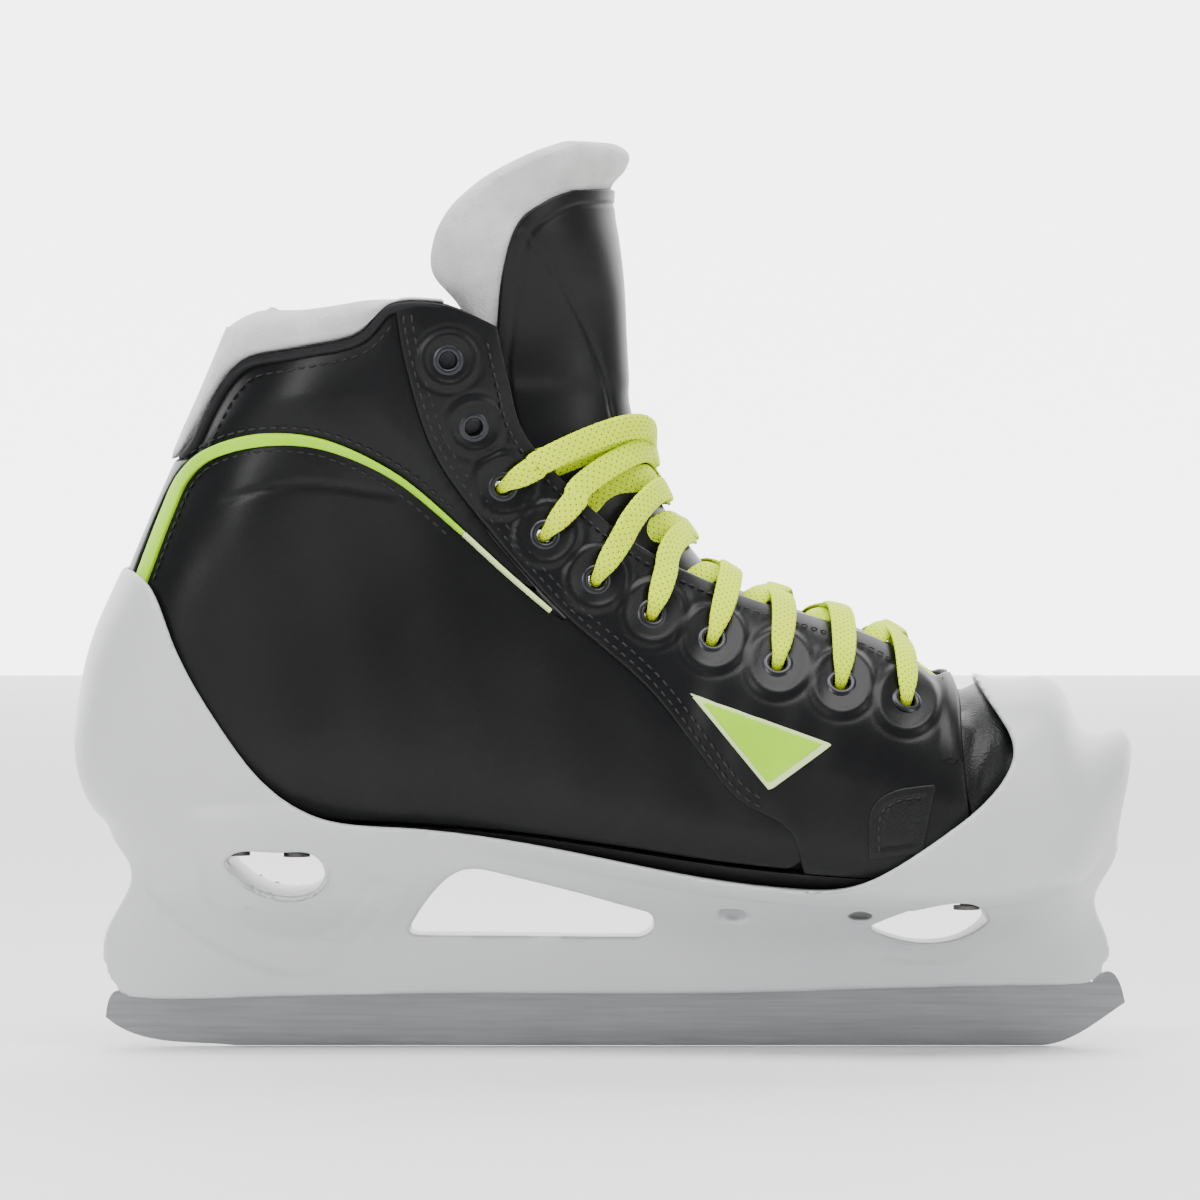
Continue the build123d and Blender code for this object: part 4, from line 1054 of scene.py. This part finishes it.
BLACK = (0.0035, 0.0036, 0.004)
MATERIALS = {
    "leather": material("black_synthetic", BLACK, 0.34, grain=(2600, 0.25, 0.1), noise_scale=25,
                        fine="cells", specular=0.2),
    "toe_leather": material("black_toe_leather", (0.0045, 0.0046, 0.005), 0.4, grain=(1300, 0.45, 0.22),
                            fine="cells", specular=0.22),
    "binding": material("black_binding", (0.006, 0.006, 0.007), 0.6, specular=0.25, grain=(3000, 0.4, 0.15)),
    "thread": material("black_thread", (0.014, 0.014, 0.016), 0.6, specular=0.3, grain=(5000, 0.5, 0.1)),
    "green": material("lime_trim", (0.33, 0.66, 0.0), 0.5, specular=0.15, grain=(2200, 0.2, 0.08)),
    "pale_green": material("pale_lime_edge", (0.58, 0.72, 0.3), 0.5, specular=0.2, grain=(2200, 0.2, 0.08)),
    "felt": material("grey_white_felt", (0.52, 0.52, 0.515), 0.95, sheen=0.4, grain=(1100, 0.9, 0.55),
                     noise_scale=120),
    "lining": material("grey_lining", (0.08, 0.08, 0.085), 0.9, sheen=0.3, grain=(2600, 0.6, 0.2)),
    "lace": lace_material(),
    "eyelet": material("black_metal", (0.035, 0.035, 0.04), 0.32, metal=0.9, grain=(900, 0.1, 0.05)),
    "plastic": material("white_moulded", (0.5, 0.505, 0.512), 0.38, grain=(500, 0.1, 0.08),
                        colour_noise=0.02),
    "steel": material("ground_steel", (0.24, 0.245, 0.25), 0.42, metal=1.0, stretch=(0.04, 1, 1),
                      noise_scale=900, grain=(2400, 0.25, 0.05)),
    "fastener": material("dark_steel", (0.12, 0.115, 0.11), 0.42, metal=1.0, grain=(900, 0.2, 0.08)),
    "board": material("sole_board", (0.008, 0.008, 0.008), 0.6, specular=0.3, grain=(900, 0.3, 0.15)),
    "foam": material("footbed_foam", (0.05, 0.055, 0.06), 0.9, sheen=0.2, grain=(1600, 0.6, 0.25),
                     fine="cells"),
}
CARRIED = {
    "runner": ("steel", "runner_steel"),
    "outsole": ("board", "sole_board"),
    "insole": ("foam", "footbed_foam"),
    "toe_box": ("board", "stiffener_board"),
    "heel_counter": ("board", "stiffener_board"),
    "ankle_pad_outer": ("foam", "footbed_foam"),
    "ankle_pad_inner": ("foam", "footbed_foam"),
}
for end in ("rear", "front"):
    for kind in ("runner_bolt", "runner_nut", "runner_washer", "sole_rivets"):
        CARRIED[f"{kind}_{end}"] = ("fastener", "fastener_steel")


def dress(obj, key):
    """Gives a piece its one material."""
    obj.data.materials.clear()
    obj.data.materials.append(MATERIALS[key])


for node, (key, slot_name) in CARRIED.items():
    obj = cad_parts[node]
    dress(obj, key)
    bevel = obj.modifiers.new("edge", "BEVEL")
    bevel.width = 0.25 * MM
    bevel.segments = 2
    bevel.angle_limit = math.radians(40)

for obj, key, slot_name, nodes_replaced, body, blended in made.values():
    dress(obj, key)
    if nodes_replaced:
        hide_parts(*nodes_replaced)
    if blended:
        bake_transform(obj)
    else:
        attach(obj, body)

# ---- floor, light and camera ------------------------------------------------------------------------------


def area_light(name, place, aim, size, power):
    light = bpy.data.lights.new(name, "AREA")
    light.shape = "RECTANGLE"
    light.size, light.size_y = size
    light.energy = power
    obj = placed(name, light)
    obj.location = place
    obj.rotation_euler = (Vector(aim) - Vector(place)).to_track_quat("-Z", "Y").to_euler()


def sheet(name, corners, mat):
    """One flat sheet of the stage."""
    mesh = bpy.data.meshes.new(name)
    mesh.from_pydata(corners, [], [(0, 1, 2, 3)])
    obj = placed(name, mesh)
    mesh.materials.append(mat)


def studio():
    """A pale floor, a glowing backdrop, an even sky and three soft lights."""
    floor = material("floor", (0.86, 0.86, 0.86), 0.7, grain=(60, 0.05, 0.05), colour_noise=0.01)
    sheet("Floor", [(-6, -6, -0.0005), (6, -6, -0.0005), (6, 8, -0.0005), (-6, 8, -0.0005)], floor)
    world = bpy.data.worlds.new("Studio")
    bpy.context.scene.world = world
    world.use_nodes = True
    world.node_tree.nodes["Background"].inputs["Color"].default_value = (0.95, 0.97, 1.0, 1)
    world.node_tree.nodes["Background"].inputs["Strength"].default_value = 0.5
    glow = material("backdrop", (0.9, 0.9, 0.9), 0.9, grain=(60, 0.02, 0.02), colour_noise=0.01)
    shader = glow.node_tree.nodes["Principled BSDF"]
    shader.inputs["Emission Color"].default_value = (1, 1, 1, 1)
    shader.inputs["Emission Strength"].default_value = 4.0
    sheet("Backdrop", [(-6, 3, -0.01), (6, 3, -0.01), (6, 3, 5), (-6, 3, 5)], glow)
    area_light("Top", (0.0, -0.3, 1.3), (0, 0, 0.12), (1.3, 0.7), 26)
    area_light("Key", (-0.9, -1.2, 0.8), (0, 0, 0.14), (0.3, 0.9), 13)
    area_light("Fill", (1.3, -0.9, 0.6), (0, 0, 0.12), (0.4, 0.9), 7)


VIEW_WIDTH = 357.6 * MM
CAMERA_TILT = math.radians(1.5)


def camera():
    """A long lens square to the outer side, tilted slightly down."""
    lens = bpy.data.cameras.new("Camera")
    lens.lens = 200.0
    lens.sensor_width = 36.0
    obj = placed("Camera", lens)
    away = VIEW_WIDTH * lens.lens / lens.sensor_width
    tilt = CAMERA_TILT
    aim = Vector((-0.0009, -0.03, 0.1356))
    obj.location = aim + Vector((0, -away * math.cos(tilt), away * math.sin(tilt)))
    obj.rotation_euler = (math.pi / 2 - tilt, 0, 0)
    lens.clip_end = 50
    bpy.context.scene.camera = obj


studio()
camera()
